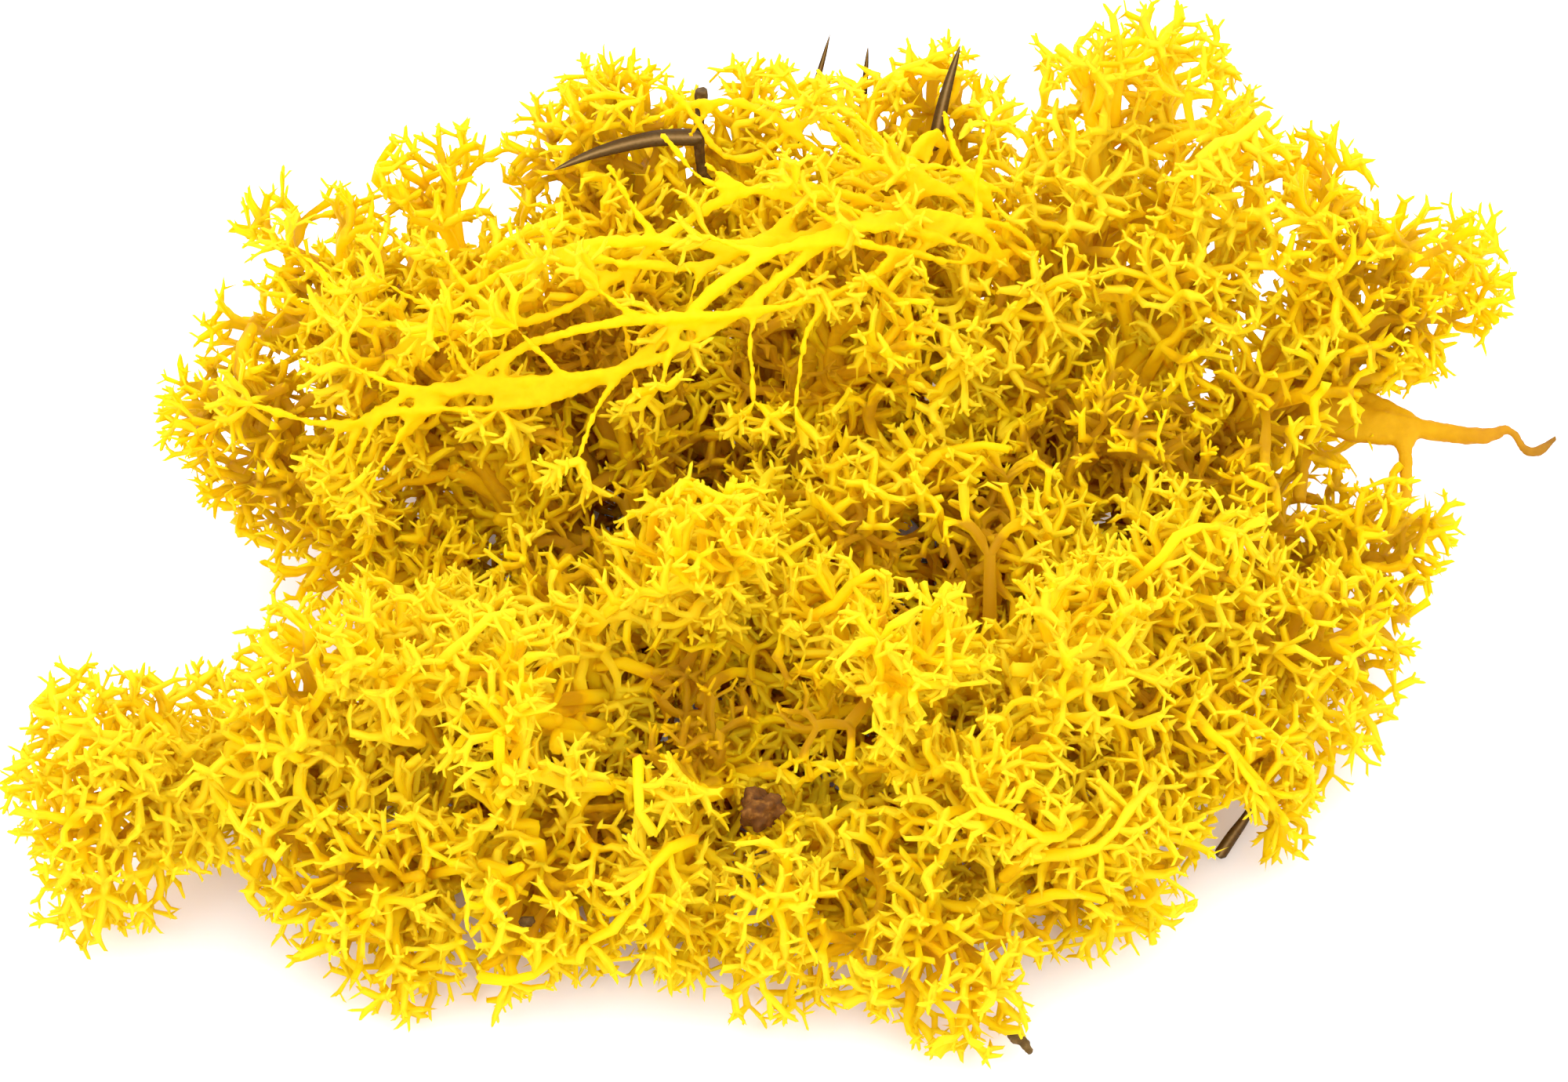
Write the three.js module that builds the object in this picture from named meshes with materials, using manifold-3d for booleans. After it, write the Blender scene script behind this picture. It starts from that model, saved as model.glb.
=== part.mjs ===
// Reindeer moss clump: a torn-off cushion of dyed lichen, with the litter that stays caught in it.
// Each tuft is one podetium: a fluted core, and branches that fork out of it to bare tips.
// Long bare stems lie over the top, a dead stem sticks out at the right, and slots hold needles and bark.
// Units are millimetres, +Z is up. The origin is on the resting plane, in the middle tuft's flat foot.
import * as THREE from "three";
import { mergeVertices } from "three/addons/utils/BufferGeometryUtils.js";
import Module from "manifold-3d";

const wasm = await Module();
wasm.setup();

// ---- driving dimensions

const gap = 0.35; // clearance between neighbouring pieces
const smoothings = [0.15, 0.12, 0.1, 0.08, 0.06, 0.04]; // detail smaller than this is smoothed away
const mergeWithin = 1e-5;

// A tuft grows from a root near the middle of the clump to the head that the table gives.
const rootShare = [0.6, 0.5, 0.35]; // the root's place, as shares of the head's x, y and z
const siteShare = 0.62; // the middle of the tuft's cell, from its root towards its head

// The core of a tuft: a fluted spindle, as of stems grown together.
const coreSides = 6;
const coreRings = [0.08, 0.42, 0.78]; // places of its rings, from the root towards the head
const coreShares = [0.9, 0.62, 0.26]; // half widths there, as shares of the tuft's reach
const coreEnds = [-0.35, 0.1]; // its ends, past the root and past the head, as shares of the reach
const ridgeHeight = 0.315; // how far every other corner stands out and the rest are drawn in
const ridgeSway = 0.27; // how uneven that is
const fluteTwist = 0.4; // turn of the flutes from ring to ring, in radians

// A branch: a stem out of the core that forks in three, and each twig in three bare tips.
const branchFoot = 0.3; // how far back along the core a branch starts, as a share of the core
const footStretch = [0.05, 0.9]; // but within this stretch of the core
const forkStretch = [0.3, 1.05]; // first forks lie out from this stretch of the core
const forkShell = [0.5, 0.74]; // and this far out, as a share of the tuft's reach
const shellAtRoot = 0.7; // how much narrower that shell is at the root
const forkSpacing = 5.6; // least distance between two first forks
const mostTries = 3000;
const branchRadii = [1.5, 1.05]; // at the core and at the first fork
const forkRise = 0.75; // how far the middle of a fork stands up, as a share of its radius
const twigLengths = [2, 3.4];
const twigTaper = 0.8;
const tipLengths = [2, 3.4];
const bareShare = 0.25; // share of the twigs that stay one bare tip
const bareStretch = 1.5; // and how much longer such a tip is
const wayKept = 0.6; // how far twigs and tips keep to the way of what they fork from
const wayStray = 0.35; // and how far they stray
const tipMargin = 0.45; // twigs and tips stay this far inside their tuft's own cell
const forkMargin = 1.4; // and first forks this far

// Side twigs on the long stems lean forwards and stand up, to the left and right in turn.
const twigStretch = [0.22, 0.96]; // the stretch of a stem that has them
const sideTwigLengths = [3.2, 5];
const sideTwigRadii = [0.9, 0.7]; // at the stem and at the fork
const leanForward = 0.5;
const leanSideways = [0.5, 1.1];
const leanUp = [0.3, 0.9];
const sideTipStray = 1.2;
const sideTipTaper = 0.8;

// name, middle of the head, reach of the head, number of branches
const tuftTable = [
  ["heart", [0, 0, 7], [13, 12, 8], 4],
  ["front_left_foot", [-44, -44, 9], [9.5, 9, 8.5], 6],
  ["front_a", [-29, -42, 12], [11, 10, 11], 5],
  ["front_b", [-13, -43, 10], [11, 9, 9.5], 5],
  ["front_c", [2, -43, 11], [11, 10, 10], 5],
  ["front_d", [16, -49, 9], [11, 10, 9], 6],
  ["front_e", [31, -37, 11], [12, 10, 10], 5],
  ["front_f", [46, -25, 11], [11, 10, 10], 5],
  ["right_low", [56, -10, 14], [12, 10, 11], 5],
  ["right_tip", [65, 6, 14], [9, 10, 10], 6],
  ["arm_left_tip", [-71, -32, 13], [11, 11, 10], 6],
  ["arm_left", [-57, -29, 18], [10, 12, 10], 5],
  ["shoulder_left", [-43, -26, 22], [12, 12, 11], 5],
  ["mound_a", [-27, -30, 25], [12, 12, 11], 6],
  ["mound_b", [-8, -16, 30], [12, 12, 12], 6],
  ["mound_c", [12, -27, 28], [12, 12, 11], 6],
  ["mound_d", [29, -24, 26], [12, 12, 11], 6],
  ["mound_e", [42, -8, 22], [11, 11, 11], 5],
  ["mound_f", [20, -36, 20], [11, 11, 10], 5],
  ["mound_g", [-8, -34, 18], [11, 11, 9], 5],
  ["mound_h", [8, 8, 25], [11, 10, 10], 5],
  ["back_right", [35, 11, 25], [12, 11, 10], 6],
  ["back_right_low", [52, 14, 17], [10, 10, 10], 5],
  ["side_left_low", [-48, 4, 17], [11, 11, 11], 5],
  ["side_left", [-61, 18, 20], [9, 11, 12], 6],
  ["wing_left_tip", [-53, 34, 32], [11, 10, 11], 6],
  ["wing_left", [-37, 33, 38], [12, 11, 11], 6],
  ["top_a", [-19, 43, 39], [12, 10, 12], 6],
  ["top_b", [-2, 45, 37], [11, 10, 11], 5],
  ["top_c", [17, 46, 39], [12, 10, 11], 6],
  ["wing_right", [39, 43, 44], [13, 12, 13], 7],
  ["wing_right_low", [50, 31, 38], [13.5, 12.5, 12], 5],
  ["arm_right", [64, 28, 35], [10, 10, 10], 5],
  ["arm_right_tip", [73, 30, 32], [8, 10, 10], 6],
  ["ridge_a", [27, 26, 36], [12, 11, 9], 5],
  ["ridge_b", [5, 24, 36], [12, 10, 9], 5],
  ["ridge_c", [-23, 23, 36], [12, 11, 9], 5],
  ["ridge_d", [-40, 15, 30], [12, 11, 10], 6],
  ["valley", [-22, 4, 16], [13, 10, 9], 4],
  ["mat_left", [-31, -9, 11], [12, 9, 8], 3],
  ["mat_back", [-5, 17, 14], [11, 10, 9], 3],
  ["mat_right", [23, -5, 13], [10, 9, 9], 3],
  ["mat_front", [3, -20, 10], [11, 9, 8], 3],
  ["back_low_a", [-42, 42, 15], [13.5, 12.5, 14], 5],
  ["back_low_b", [-15, 51, 15], [12, 10, 13], 5],
  ["back_low_c", [12, 52, 15], [12, 10, 13], 5],
  ["back_low_d", [37, 44, 17], [12, 11, 14], 5],
];

// Hollows that nothing forks in: middle and reach.
const hollowTable = [
  [[-26, 2, 33], [20, 7, 9]],
  [[-2, 14, 40], [12, 6, 7]],
  [[-8, -30, 33], [9, 6, 8]],
];

// ---- small helpers

function vec([x, y, z]) {
  return new THREE.Vector3(x, y, z);
}

// A seeded stream of numbers between 0 and 1.
function seeded(seed) {
  let state = seed;
  return () => {
    state = (state * 16807) % 2147483647;
    return state / 2147483647;
  };
}

function within([low, high], random) {
  return low + (high - low) * random();
}

function directionFrom(random) {
  const height = 2 * random() - 1;
  const turn = 2 * Math.PI * random();
  const across = Math.sqrt(1 - height * height);
  return new THREE.Vector3(across * Math.cos(turn), across * Math.sin(turn), height);
}

function meanOf(points) {
  const sum = points.reduce((total, point) => total.add(point), new THREE.Vector3());
  return sum.divideScalar(points.length);
}

// Two directions square to a third and to each other; the first is the one nearer upright.
function squareTo(way) {
  const upright = Math.abs(way.z) < 0.8;
  const start = upright ? new THREE.Vector3(0, 0, 1) : new THREE.Vector3(1, 0, 0);
  const across = start.addScaledVector(way, -start.dot(way)).normalize();
  return [across, way.clone().cross(across)];
}

// ---- tufts and their cells: each keeps to the space that is nearer its own site than any other

const tufts = tuftTable.map(([name, head, reach, branches], index) => {
  const tuft = { name, head: vec(head), reach: vec(reach), branches, seed: 101 + 37 * index };
  tuft.root = tuft.head.clone().multiply(vec(rootShare));
  tuft.site = tuft.root.clone().lerp(tuft.head, siteShare);
  return tuft;
});

const hollows = hollowTable.map(([middle, reach]) => ({ middle: vec(middle), reach: vec(reach) }));

for (const tuft of tufts) {
  tuft.walls = tufts
    .filter((other) => other !== tuft)
    .map((other) => {
      const normal = tuft.site.clone().sub(other.site).normalize();
      const halfway = tuft.site.clone().add(other.site).multiplyScalar(0.5);
      return { normal, offset: normal.dot(halfway), trim: normal.dot(halfway) + gap / 2 };
    });
  tuft.walls.push({ normal: vec([0, 0, 1]), offset: 0, trim: 0 });
}

function insideCell(point, tuft) {
  return tuft.walls.every(({ normal, offset }) => normal.dot(point) > offset + forkMargin);
}

function insideHollow(point) {
  return hollows.some(({ middle, reach }) => point.clone().sub(middle).divide(reach).length() < 1);
}

// The far place, or the point on the way to it where it would leave the cell.
function heldInCell(from, to, tuft) {
  let share = 1;
  for (const { normal, offset } of tuft.walls) {
    const room = normal.dot(from) - offset - tipMargin;
    const fall = normal.dot(from) - normal.dot(to);
    if (fall > room) share = Math.min(share, Math.max(room, 0) / fall);
  }
  return from.clone().lerp(to, share);
}

// ---- surfaces, made of rings of corners

// Adds a ring of corners round a middle, and returns their numbers.
function addRing(places, middle, [across, other], radii, turned = 0) {
  return radii.map((radius, k) => {
    const turn = turned + (2 * Math.PI * k) / radii.length;
    const corner = middle.clone().addScaledVector(across, radius * Math.cos(turn));
    return places.push(corner.addScaledVector(other, radius * Math.sin(turn))) - 1;
  });
}

function joinRings(faces, ring, next) {
  ring.forEach((a, k) => {
    const b = ring[(k + 1) % ring.length];
    const c = next[(k + 1) % ring.length];
    faces.push(a, b, c, a, c, next[k]);
  });
}

function closeToPoint(faces, ring, point) {
  ring.forEach((a, k) => faces.push(a, ring[(k + 1) % ring.length], point));
}

function closeFlat(faces, ring) {
  for (let k = 1; k + 1 < ring.length; k++) faces.push(ring[0], ring[k], ring[k + 1]);
}

function geometryOf(places, faces) {
  const geometry = new THREE.BufferGeometry();
  const numbers = places.flatMap((place) => place.toArray());
  geometry.setAttribute("position", new THREE.Float32BufferAttribute(numbers, 3));
  geometry.setIndex(faces);
  return geometry;
}

// A tapering limb along points, with flat ends, or with a pointed one where the last radius is 0.
function limbGeometry(points, radii, sides, grow) {
  const places = [];
  const faces = [];
  const last = points.length - 1;
  let across = null;
  const rings = points.map((point, i) => {
    const way = points[Math.min(i + 1, last)].clone().sub(points[Math.max(i - 1, 0)]).normalize();
    across = across ? across.clone().addScaledVector(way, -across.dot(way)).normalize() : squareTo(way)[0];
    const middle = point.clone();
    if (i === 0) middle.addScaledVector(way, -grow);
    if (i === last) middle.addScaledVector(way, grow);
    if (radii[i] === 0) return [places.push(middle) - 1];
    const corners = new Array(sides).fill(radii[i] + grow);
    return addRing(places, middle, [across, way.clone().cross(across)], corners);
  });
  closeFlat(faces, [...rings[0]].reverse());
  for (let i = 1; i < last; i++) joinRings(faces, rings[i - 1], rings[i]);
  if (radii[last] === 0) {
    closeToPoint(faces, rings[last - 1], rings[last][0]);
  } else {
    joinRings(faces, rings[last - 1], rings[last]);
    closeFlat(faces, rings[last]);
  }
  return geometryOf(places, faces);
}

function coreGeometry(tuft) {
  const random = seeded(tuft.seed + 11);
  const reach = (tuft.reach.x + tuft.reach.y + tuft.reach.z) / 3;
  const way = tuft.head.clone().sub(tuft.root).normalize();
  const places = [
    tuft.root.clone().addScaledVector(way, coreEnds[0] * reach),
    tuft.head.clone().addScaledVector(way, coreEnds[1] * reach),
  ];
  const rings = coreRings.map((share, i) => {
    const radii = Array.from({ length: coreSides }, (_, k) => {
      const ridge = (k % 2 ? 1 : -1) * ridgeHeight + ridgeSway * (random() - 0.5);
      return coreShares[i] * reach * (1 + ridge);
    });
    return addRing(places, tuft.root.clone().lerp(tuft.head, share), squareTo(way), radii, fluteTwist * i);
  });
  const faces = [];
  closeToPoint(faces, [...rings[0]].reverse(), 0);
  for (let i = 1; i < rings.length; i++) joinRings(faces, rings[i - 1], rings[i]);
  closeToPoint(faces, rings[rings.length - 1], 1);
  return geometryOf(places, faces);
}

// ---- growth

// Where the first forks of a tuft's branches lie: spaced out in the shell of its head, in its own cell.
function throwForks(tuft, random) {
  const forks = [];
  for (let tries = 0; tries < mostTries && forks.length < tuft.branches; tries++) {
    const share = within(forkStretch, random);
    const middle = tuft.root.clone().lerp(tuft.head, share);
    const out = within(forkShell, random) * THREE.MathUtils.lerp(shellAtRoot, 1, share);
    const place = directionFrom(random).multiply(tuft.reach).multiplyScalar(out).add(middle);
    const free = forks.every((fork) => fork.place.distanceTo(place) > forkSpacing);
    if (free && !insideHollow(place) && insideCell(place, tuft)) forks.push({ place, share });
  }
  return forks;
}

function branchGeometry(tuft, fork, random) {
  const places = [];
  const faces = [];
  const middleOf = (ring) => meanOf(ring.map((i) => places[i]));

  // The end of a stem is raised in its middle, which makes three faces of it.
  const facesOfFork = (ring, way, radius) => {
    const top = places.push(middleOf(ring).addScaledVector(way, forkRise * radius)) - 1;
    return ring.map((a, k) => [a, ring[(k + 1) % 3], top]);
  };

  const wayOutOf = (face, way) => {
    const [a, b, c] = face.map((i) => places[i]);
    const normal = b.clone().sub(a).cross(c.clone().sub(a)).normalize();
    return normal.addScaledVector(way, wayKept).addScaledVector(directionFrom(random), wayStray).normalize();
  };

  // A twig is its face moved out and drawn together.
  const addTwig = (face, way) => {
    const middle = middleOf(face);
    const end = heldInCell(middle, middle.clone().addScaledVector(way, within(twigLengths, random)), tuft);
    const moved = (place) => place.clone().sub(middle).multiplyScalar(twigTaper).add(end);
    const ring = face.map((i) => places.push(moved(places[i])) - 1);
    joinRings(faces, face, ring);
    return ring;
  };

  const addTip = (face, way, stretch) => {
    const middle = middleOf(face);
    const far = middle.clone().addScaledVector(wayOutOf(face, way), stretch * within(tipLengths, random));
    closeToPoint(faces, face, places.push(heldInCell(middle, far, tuft)) - 1);
  };

  const footShare = THREE.MathUtils.clamp(fork.share - branchFoot, ...footStretch);
  const foot = tuft.root.clone().lerp(tuft.head, footShare);
  const way = fork.place.clone().sub(foot).normalize();
  const turned = 2 * Math.PI * random();
  const [start, end] = [foot, fork.place].map((middle, i) =>
    addRing(places, middle, squareTo(way), new Array(3).fill(branchRadii[i]), turned),
  );
  closeFlat(faces, [...start].reverse());
  joinRings(faces, start, end);
  for (const face of facesOfFork(end, way, branchRadii[1])) {
    if (random() < bareShare) {
      addTip(face, way, bareStretch);
      continue;
    }
    const twigWay = wayOutOf(face, way);
    const twig = addTwig(face, twigWay);
    for (const tipFace of facesOfFork(twig, twigWay, branchRadii[1] * twigTaper)) addTip(tipFace, twigWay, 1);
  }
  return geometryOf(places, faces);
}

// ---- solids

// A three.js geometry as a manifold-3d solid.
function solidOf(geometry) {
  const merged = mergeVertices(geometry, mergeWithin);
  return new wasm.Manifold(
    new wasm.Mesh({
      numProp: 3,
      vertProperties: new Float32Array(merged.attributes.position.array),
      triVerts: new Uint32Array(merged.index.array),
    }),
  );
}

function meshOf(name, solid, material) {
  const { numProp, numVert, vertProperties, triVerts } = solid.getMesh();
  const places = new Float32Array(numVert * 3);
  for (let i = 0; i < numVert; i++) places.set(vertProperties.subarray(i * numProp, i * numProp + 3), i * 3);
  const geometry = new THREE.BufferGeometry();
  geometry.setAttribute("position", new THREE.BufferAttribute(places, 3));
  geometry.setIndex(new THREE.BufferAttribute(new Uint32Array(triVerts), 1));
  geometry.computeVertexNormals();
  const mesh = new THREE.Mesh(geometry, material);
  mesh.name = name;
  return mesh;
}

function largestBody(solid) {
  return solid.decompose().reduce((best, body) => (body.volume() > best.volume() ? body : best));
}

// An edge is pinched where more than two faces meet at it.
function isPinched(solid) {
  const { numProp, vertProperties, triVerts } = solid.getMesh();
  const placeOf = (i) => {
    const numbers = vertProperties.subarray(i * numProp, i * numProp + 3);
    return Array.from(numbers, (value) => value.toFixed(3)).join();
  };
  const seen = new Set();
  for (let i = 0; i < triVerts.length; i += 3) {
    const corners = [0, 1, 2].map((k) => placeOf(triVerts[i + k]));
    for (let k = 0; k < 3; k++) {
      const edge = corners[k] + " " + corners[(k + 1) % 3];
      if (seen.has(edge)) return true;
      seen.add(edge);
    }
  }
  return false;
}

// One body of a joined solid, smoothed as far as it can be without pinching an edge.
function smoothed(solid) {
  for (const size of smoothings) {
    const body = largestBody(solid.asOriginal().simplify(size));
    if (!isPinched(body)) return body;
  }
  return largestBody(solid);
}

// ---- materials

function matte(color, roughness) {
  return new THREE.MeshStandardMaterial({ color, roughness, metalness: 0 });
}

const mossYellow = matte(0xf6cf12, 0.8);
const stemYellow = matte(0xf0be14, 0.75);
const deadStemBrown = matte(0xc98f16, 0.8);
const needleBrown = matte(0x6b4a22, 0.6);
const barkBrown = matte(0x3a2a1c, 0.9);

// ---- stems, needles and crumbs: points with a radius at each, and a number of side twigs

function needle(name, points, radii) {
  return { name, material: needleBrown, sides: 4, twigs: 0, points, radii };
}

function bark(name, points, radii) {
  return { name, material: barkBrown, sides: 5, twigs: 0, points, radii };
}

const runTable = [
  {
    name: "long_stem_a",
    material: stemYellow,
    sides: 5,
    twigs: 8,
    points: [
      [26, 25, 36],
      [22.5, 24, 41.5],
      [15, 21, 44.5],
      [4, 16, 45],
      [-7, 11.5, 43.5],
      [-18, 8, 41],
      [-29, 5.5, 37.5],
      [-39, 4, 33.5],
      [-46, 3, 29],
    ],
    radii: [1.6, 1.9, 1.9, 1.8, 1.7, 1.6, 1.5, 1.3, 0.9],
  },
  {
    name: "long_stem_b",
    material: stemYellow,
    sides: 5,
    twigs: 7,
    points: [
      [25, 29, 36],
      [21, 28.5, 42.5],
      [12, 26, 46],
      [1, 22.5, 47],
      [-11, 19, 45.5],
      [-23, 16, 43],
      [-35, 14, 39.5],
      [-46, 13, 35.5],
    ],
    radii: [1.5, 1.7, 1.7, 1.6, 1.5, 1.4, 1.2, 0.8],
  },
  {
    name: "long_stem_c",
    material: stemYellow,
    sides: 5,
    twigs: 4,
    points: [
      [17, 42, 35],
      [15, 37, 42],
      [7, 33.5, 46],
      [-5, 34.5, 47.5],
      [-16, 37, 48.5],
    ],
    radii: [1.3, 1.5, 1.4, 1.2, 0.8],
  },
  {
    name: "dead_stem",
    material: deadStemBrown,
    sides: 5,
    twigs: 3,
    points: [
      [46, 20, 19.5],
      [56, 20.5, 20.5],
      [64, 18, 20.5],
      [70, 17, 20],
      [76, 15.5, 20],
      [79, 15.8, 19.6],
      [82, 14.9, 19.2],
      [84, 15.6, 19.8],
    ],
    radii: [2.2, 2.1, 1.6, 1.1, 0.9, 0.5, 0.7, 0.3],
  },
  needle("needle_a", [[-24.8, 32.5, 43.9], [-20, 34.9, 44.4], [-14, 37.1, 44.4], [-8.8, 38.1, 43.7]],
    [0.25, 0.8, 0.8, 0.35]),
  needle("needle_b", [[18.9, 39.6, 39], [18, 41.8, 45.5], [18.4, 43.6, 51.4]], [0.4, 0.75, 0.2]),
  needle("needle_c", [[0.5, 44, 35.5], [3.2, 45.2, 44], [5, 46.2, 51.4]], [0.4, 0.6, 0.2]),
  needle("needle_d", [[8.6, 49.6, 36.8], [8.9, 50.2, 41.3], [9.2, 50.8, 45.8]], [0.35, 0.5, 0.2]),
  needle("needle_e", [[45.6, -28.4, 1.4], [47.2, -25.8, 1.8], [49, -22.8, 2]], [0.35, 0.6, 0.3]),
  bark("twig_stub", [[-9, 40.1, 37.1], [-9.2, 40.7, 41.5], [-9, 41.4, 45.9], [-8.9, 41.5, 47.5]],
    [0.6, 0.8, 0.75, 0.95]),
  bark("bark_crumb_a", [[22.8, -53.4, 3], [24, -54.6, 2.8], [25, -56, 2.5]], [0.5, 0.9, 0.4]),
  bark("bark_crumb_b", [[-28.8, -42.2, 6.3], [-27.8, -41, 6.7]], [0.7, 0.8]),
  bark("bark_crumb_c", [[-27, -45.4, 10.3], [-25.4, -45, 10.6]], [0.7, 0.6]),
];

const runs = runTable.map((run, index) => ({ ...run, points: run.points.map(vec), seed: 5003 + 41 * index }));

// Where a stem has got to at a share of its points, and which way it goes there.
function alongStem(points, share) {
  const reached = share * (points.length - 1);
  const i = Math.min(Math.floor(reached), points.length - 2);
  const way = points[i + 1].clone().sub(points[i]).normalize();
  return { place: points[i].clone().lerp(points[i + 1], reached - i), way };
}

function sideTwigsOf(run) {
  const random = seeded(run.seed);
  const limbs = [];
  for (let k = 0; k < run.twigs; k++) {
    const share = THREE.MathUtils.lerp(...twigStretch, (k + random()) / run.twigs);
    const { place, way } = alongStem(run.points, share);
    const [up, side] = squareTo(way);
    const lean = () => {
      const sideways = (k % 2 ? 1 : -1) * within(leanSideways, random);
      const forwards = way.clone().multiplyScalar(leanForward);
      return forwards.addScaledVector(side, sideways).addScaledVector(up, within(leanUp, random));
    };
    const fork = place.clone().addScaledVector(lean().normalize(), within(sideTwigLengths, random));
    const tip = fork.clone().addScaledVector(lean().normalize(), within(tipLengths, random));
    limbs.push({ points: [place, fork, tip], radii: [...sideTwigRadii, 0] });
    const stray = lean().addScaledVector(directionFrom(random), sideTipStray).normalize();
    const otherTip = fork.clone().addScaledVector(stray, within(tipLengths, random));
    limbs.push({ points: [fork, otherTip], radii: [sideTwigRadii[1] * sideTipTaper, 0] });
  }
  return limbs;
}

for (const run of runs) {
  const twigs = sideTwigsOf(run);
  const joined = (grow) =>
    wasm.Manifold.union([
      solidOf(limbGeometry(run.points, run.radii, run.sides, grow)),
      ...twigs.map(({ points, radii }) => solidOf(limbGeometry(points, radii, 3, grow))),
    ]);
  run.solid = joined(0);
  run.slot = joined(gap);
}

// ---- assembly

const clump = new THREE.Group();
clump.name = "reindeer_moss_clump";

for (const tuft of tufts) {
  const random = seeded(tuft.seed);
  const branches = throwForks(tuft, random).map((fork) => solidOf(branchGeometry(tuft, fork, random)));
  let solid = wasm.Manifold.union([solidOf(coreGeometry(tuft)), ...branches]);
  for (const { normal, trim } of tuft.walls) solid = solid.trimByPlane(normal.toArray(), trim);
  for (const { slot } of runs) solid = solid.subtract(slot);
  clump.add(meshOf(tuft.name, smoothed(solid), mossYellow));
}

for (const run of runs) clump.add(meshOf(run.name, smoothed(run.solid), run.material));

export default clump;
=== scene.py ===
import math
from itertools import product

import bpy
import numpy as np
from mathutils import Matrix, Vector, kdtree


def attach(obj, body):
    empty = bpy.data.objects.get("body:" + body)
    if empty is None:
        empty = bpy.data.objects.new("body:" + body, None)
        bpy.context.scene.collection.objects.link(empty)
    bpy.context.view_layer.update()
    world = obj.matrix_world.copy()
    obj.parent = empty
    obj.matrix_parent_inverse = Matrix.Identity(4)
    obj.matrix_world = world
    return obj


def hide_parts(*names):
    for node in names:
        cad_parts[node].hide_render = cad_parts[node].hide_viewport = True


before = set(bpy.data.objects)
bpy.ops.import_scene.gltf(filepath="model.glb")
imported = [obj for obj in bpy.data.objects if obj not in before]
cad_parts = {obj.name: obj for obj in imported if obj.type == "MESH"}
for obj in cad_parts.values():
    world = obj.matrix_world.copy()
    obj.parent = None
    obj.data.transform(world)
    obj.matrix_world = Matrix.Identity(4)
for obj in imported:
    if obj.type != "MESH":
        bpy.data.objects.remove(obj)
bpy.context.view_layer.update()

mm = 0.001

# the camera, in mm: it looks down at the target from the front
view = {"lens": 129.6, "sensor": 36, "distance": 600, "elevation": 45, "target": Vector((0, 0, 20))}
tilt = math.radians(view["elevation"])
toCamera = Vector((0, -math.cos(tilt), math.sin(tilt)))
upInView = Vector((0, math.sin(tilt), math.cos(tilt)))
eye = view["target"] + toCamera * view["distance"]


# numbers between 0 and 1, drawn one after another from a seed
class Draw:
    def __init__(self, seed):
        self.state = seed

    def next(self):
        self.state = self.state * 16807 % 2147483647
        return self.state / 2147483647

    def within(self, low, high):
        return low + (high - low) * self.next()

    def direction(self):
        height = 2 * self.next() - 1
        turn = 2 * math.pi * self.next()
        across = math.sqrt(1 - height * height)
        return Vector((across * math.cos(turn), across * math.sin(turn), height))


# first seed of each kind of growth, and how far apart those of its tufts or stems are
seeds = {
    "forks": (101, 37), "moreForks": (7001, 0), "pits": (3001, 61), "limbs": (9001, 53), "runners": (4242, 0),
    "longStems": (5001, 97), "levels": (777, 0),
}


def drawFor(kind, index=0):
    first, step = seeds[kind]
    return Draw(first + step * index)


# a node tree, or one value in it, so that shader maths reads as plain sums
class Wire:
    def __init__(self, tree, socket=None):
        self.tree = tree
        self.socket = socket

    def node(self, kind, settings=None, sockets=None, out=0):
        made = self.tree.nodes.new(kind)
        for name, value in (settings or {}).items():
            if name == "stops":
                ramp = made.color_ramp
                while len(ramp.elements) < len(value):
                    ramp.elements.new(0.5)
                for element, (place, colour) in zip(ramp.elements, value):
                    element.position = place
                    element.color = (*colour, 1)
            else:
                setattr(made, name, value)
        for name, value in (sockets or {}).items():
            if isinstance(value, Wire):
                self.tree.links.new(value.socket, made.inputs[name])
            elif isinstance(value, tuple) and len(value) == 3 and made.inputs[name].type == "RGBA":
                made.inputs[name].default_value = (*value, 1)
            else:
                made.inputs[name].default_value = value
        return Wire(self.tree, made.outputs[out]) if made.outputs else made

    def maths(self, operation, other, swapped=False):
        first, second = (other, self) if swapped else (self, other)
        return self.node("ShaderNodeMath", {"operation": operation}, {0: first, 1: second})

    def __add__(self, other):
        return self.maths("ADD", other)

    def __radd__(self, other):
        return self.maths("ADD", other, True)

    def __sub__(self, other):
        return self.maths("SUBTRACT", other)

    def __rsub__(self, other):
        return self.maths("SUBTRACT", other, True)

    def __mul__(self, other):
        return self.maths("MULTIPLY", other)

    def __rmul__(self, other):
        return self.maths("MULTIPLY", other, True)

    def clamped(self):
        return self.node("ShaderNodeClamp", {}, {"Value": self})

    def noise(self, coords, scale, detail):
        return self.node("ShaderNodeTexNoise", {}, {"Vector": coords, "Scale": scale, "Detail": detail})

    def bump(self, strength, height):
        return self.node("ShaderNodeBump", {}, {"Height": self, "Strength": strength, "Distance": height})

    def surface(self, colour, roughness, gloss, bump):
        return self.node(
            "ShaderNodeBsdfPrincipled",
            {},
            {"Base Color": colour, "Roughness": roughness, "Specular IOR Level": gloss, "Normal": bump},
        )


def newMaterial(name):
    material = bpy.data.materials.new(name)
    material.use_nodes = True
    material.node_tree.nodes.clear()
    return material, Wire(material.node_tree)


def finishMaterial(sheet, shader):
    sheet.node("ShaderNodeOutputMaterial", {}, {"Surface": shader})


# old and deep are the real older parts and also painted shade, where deep and shaded lichen is lowered to
# them
lichen = {
    "old": (0.40, 0.16, 0.002), "deep": (0.93, 0.52, 0.001), "middle": (0.98, 0.70, 0.001),
    "tips": (1.0, 0.76, 0.008), "through": (1.0, 0.76, 0.001), "letThrough": 0.55, "roughness": 0.6,
    "gloss": 0.04,
}

# what both lichens share: where their colours stand by age, which in the moss also holds painted shade and
# light, wide patches, fine specks and fluff
lichenGrain = {
    "colours": ("old", "deep", "middle", "tips"), "places": (0.0, 0.24, 0.5, 0.85), "detail": 2,
    "patchScale": 70, "patchy": 0.7, "speckScale": 1400, "speckled": 0.3,
    "fluffScale": 3500, "fluffy": 0.5, "fluffHeight": 0.00012,
}


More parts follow.
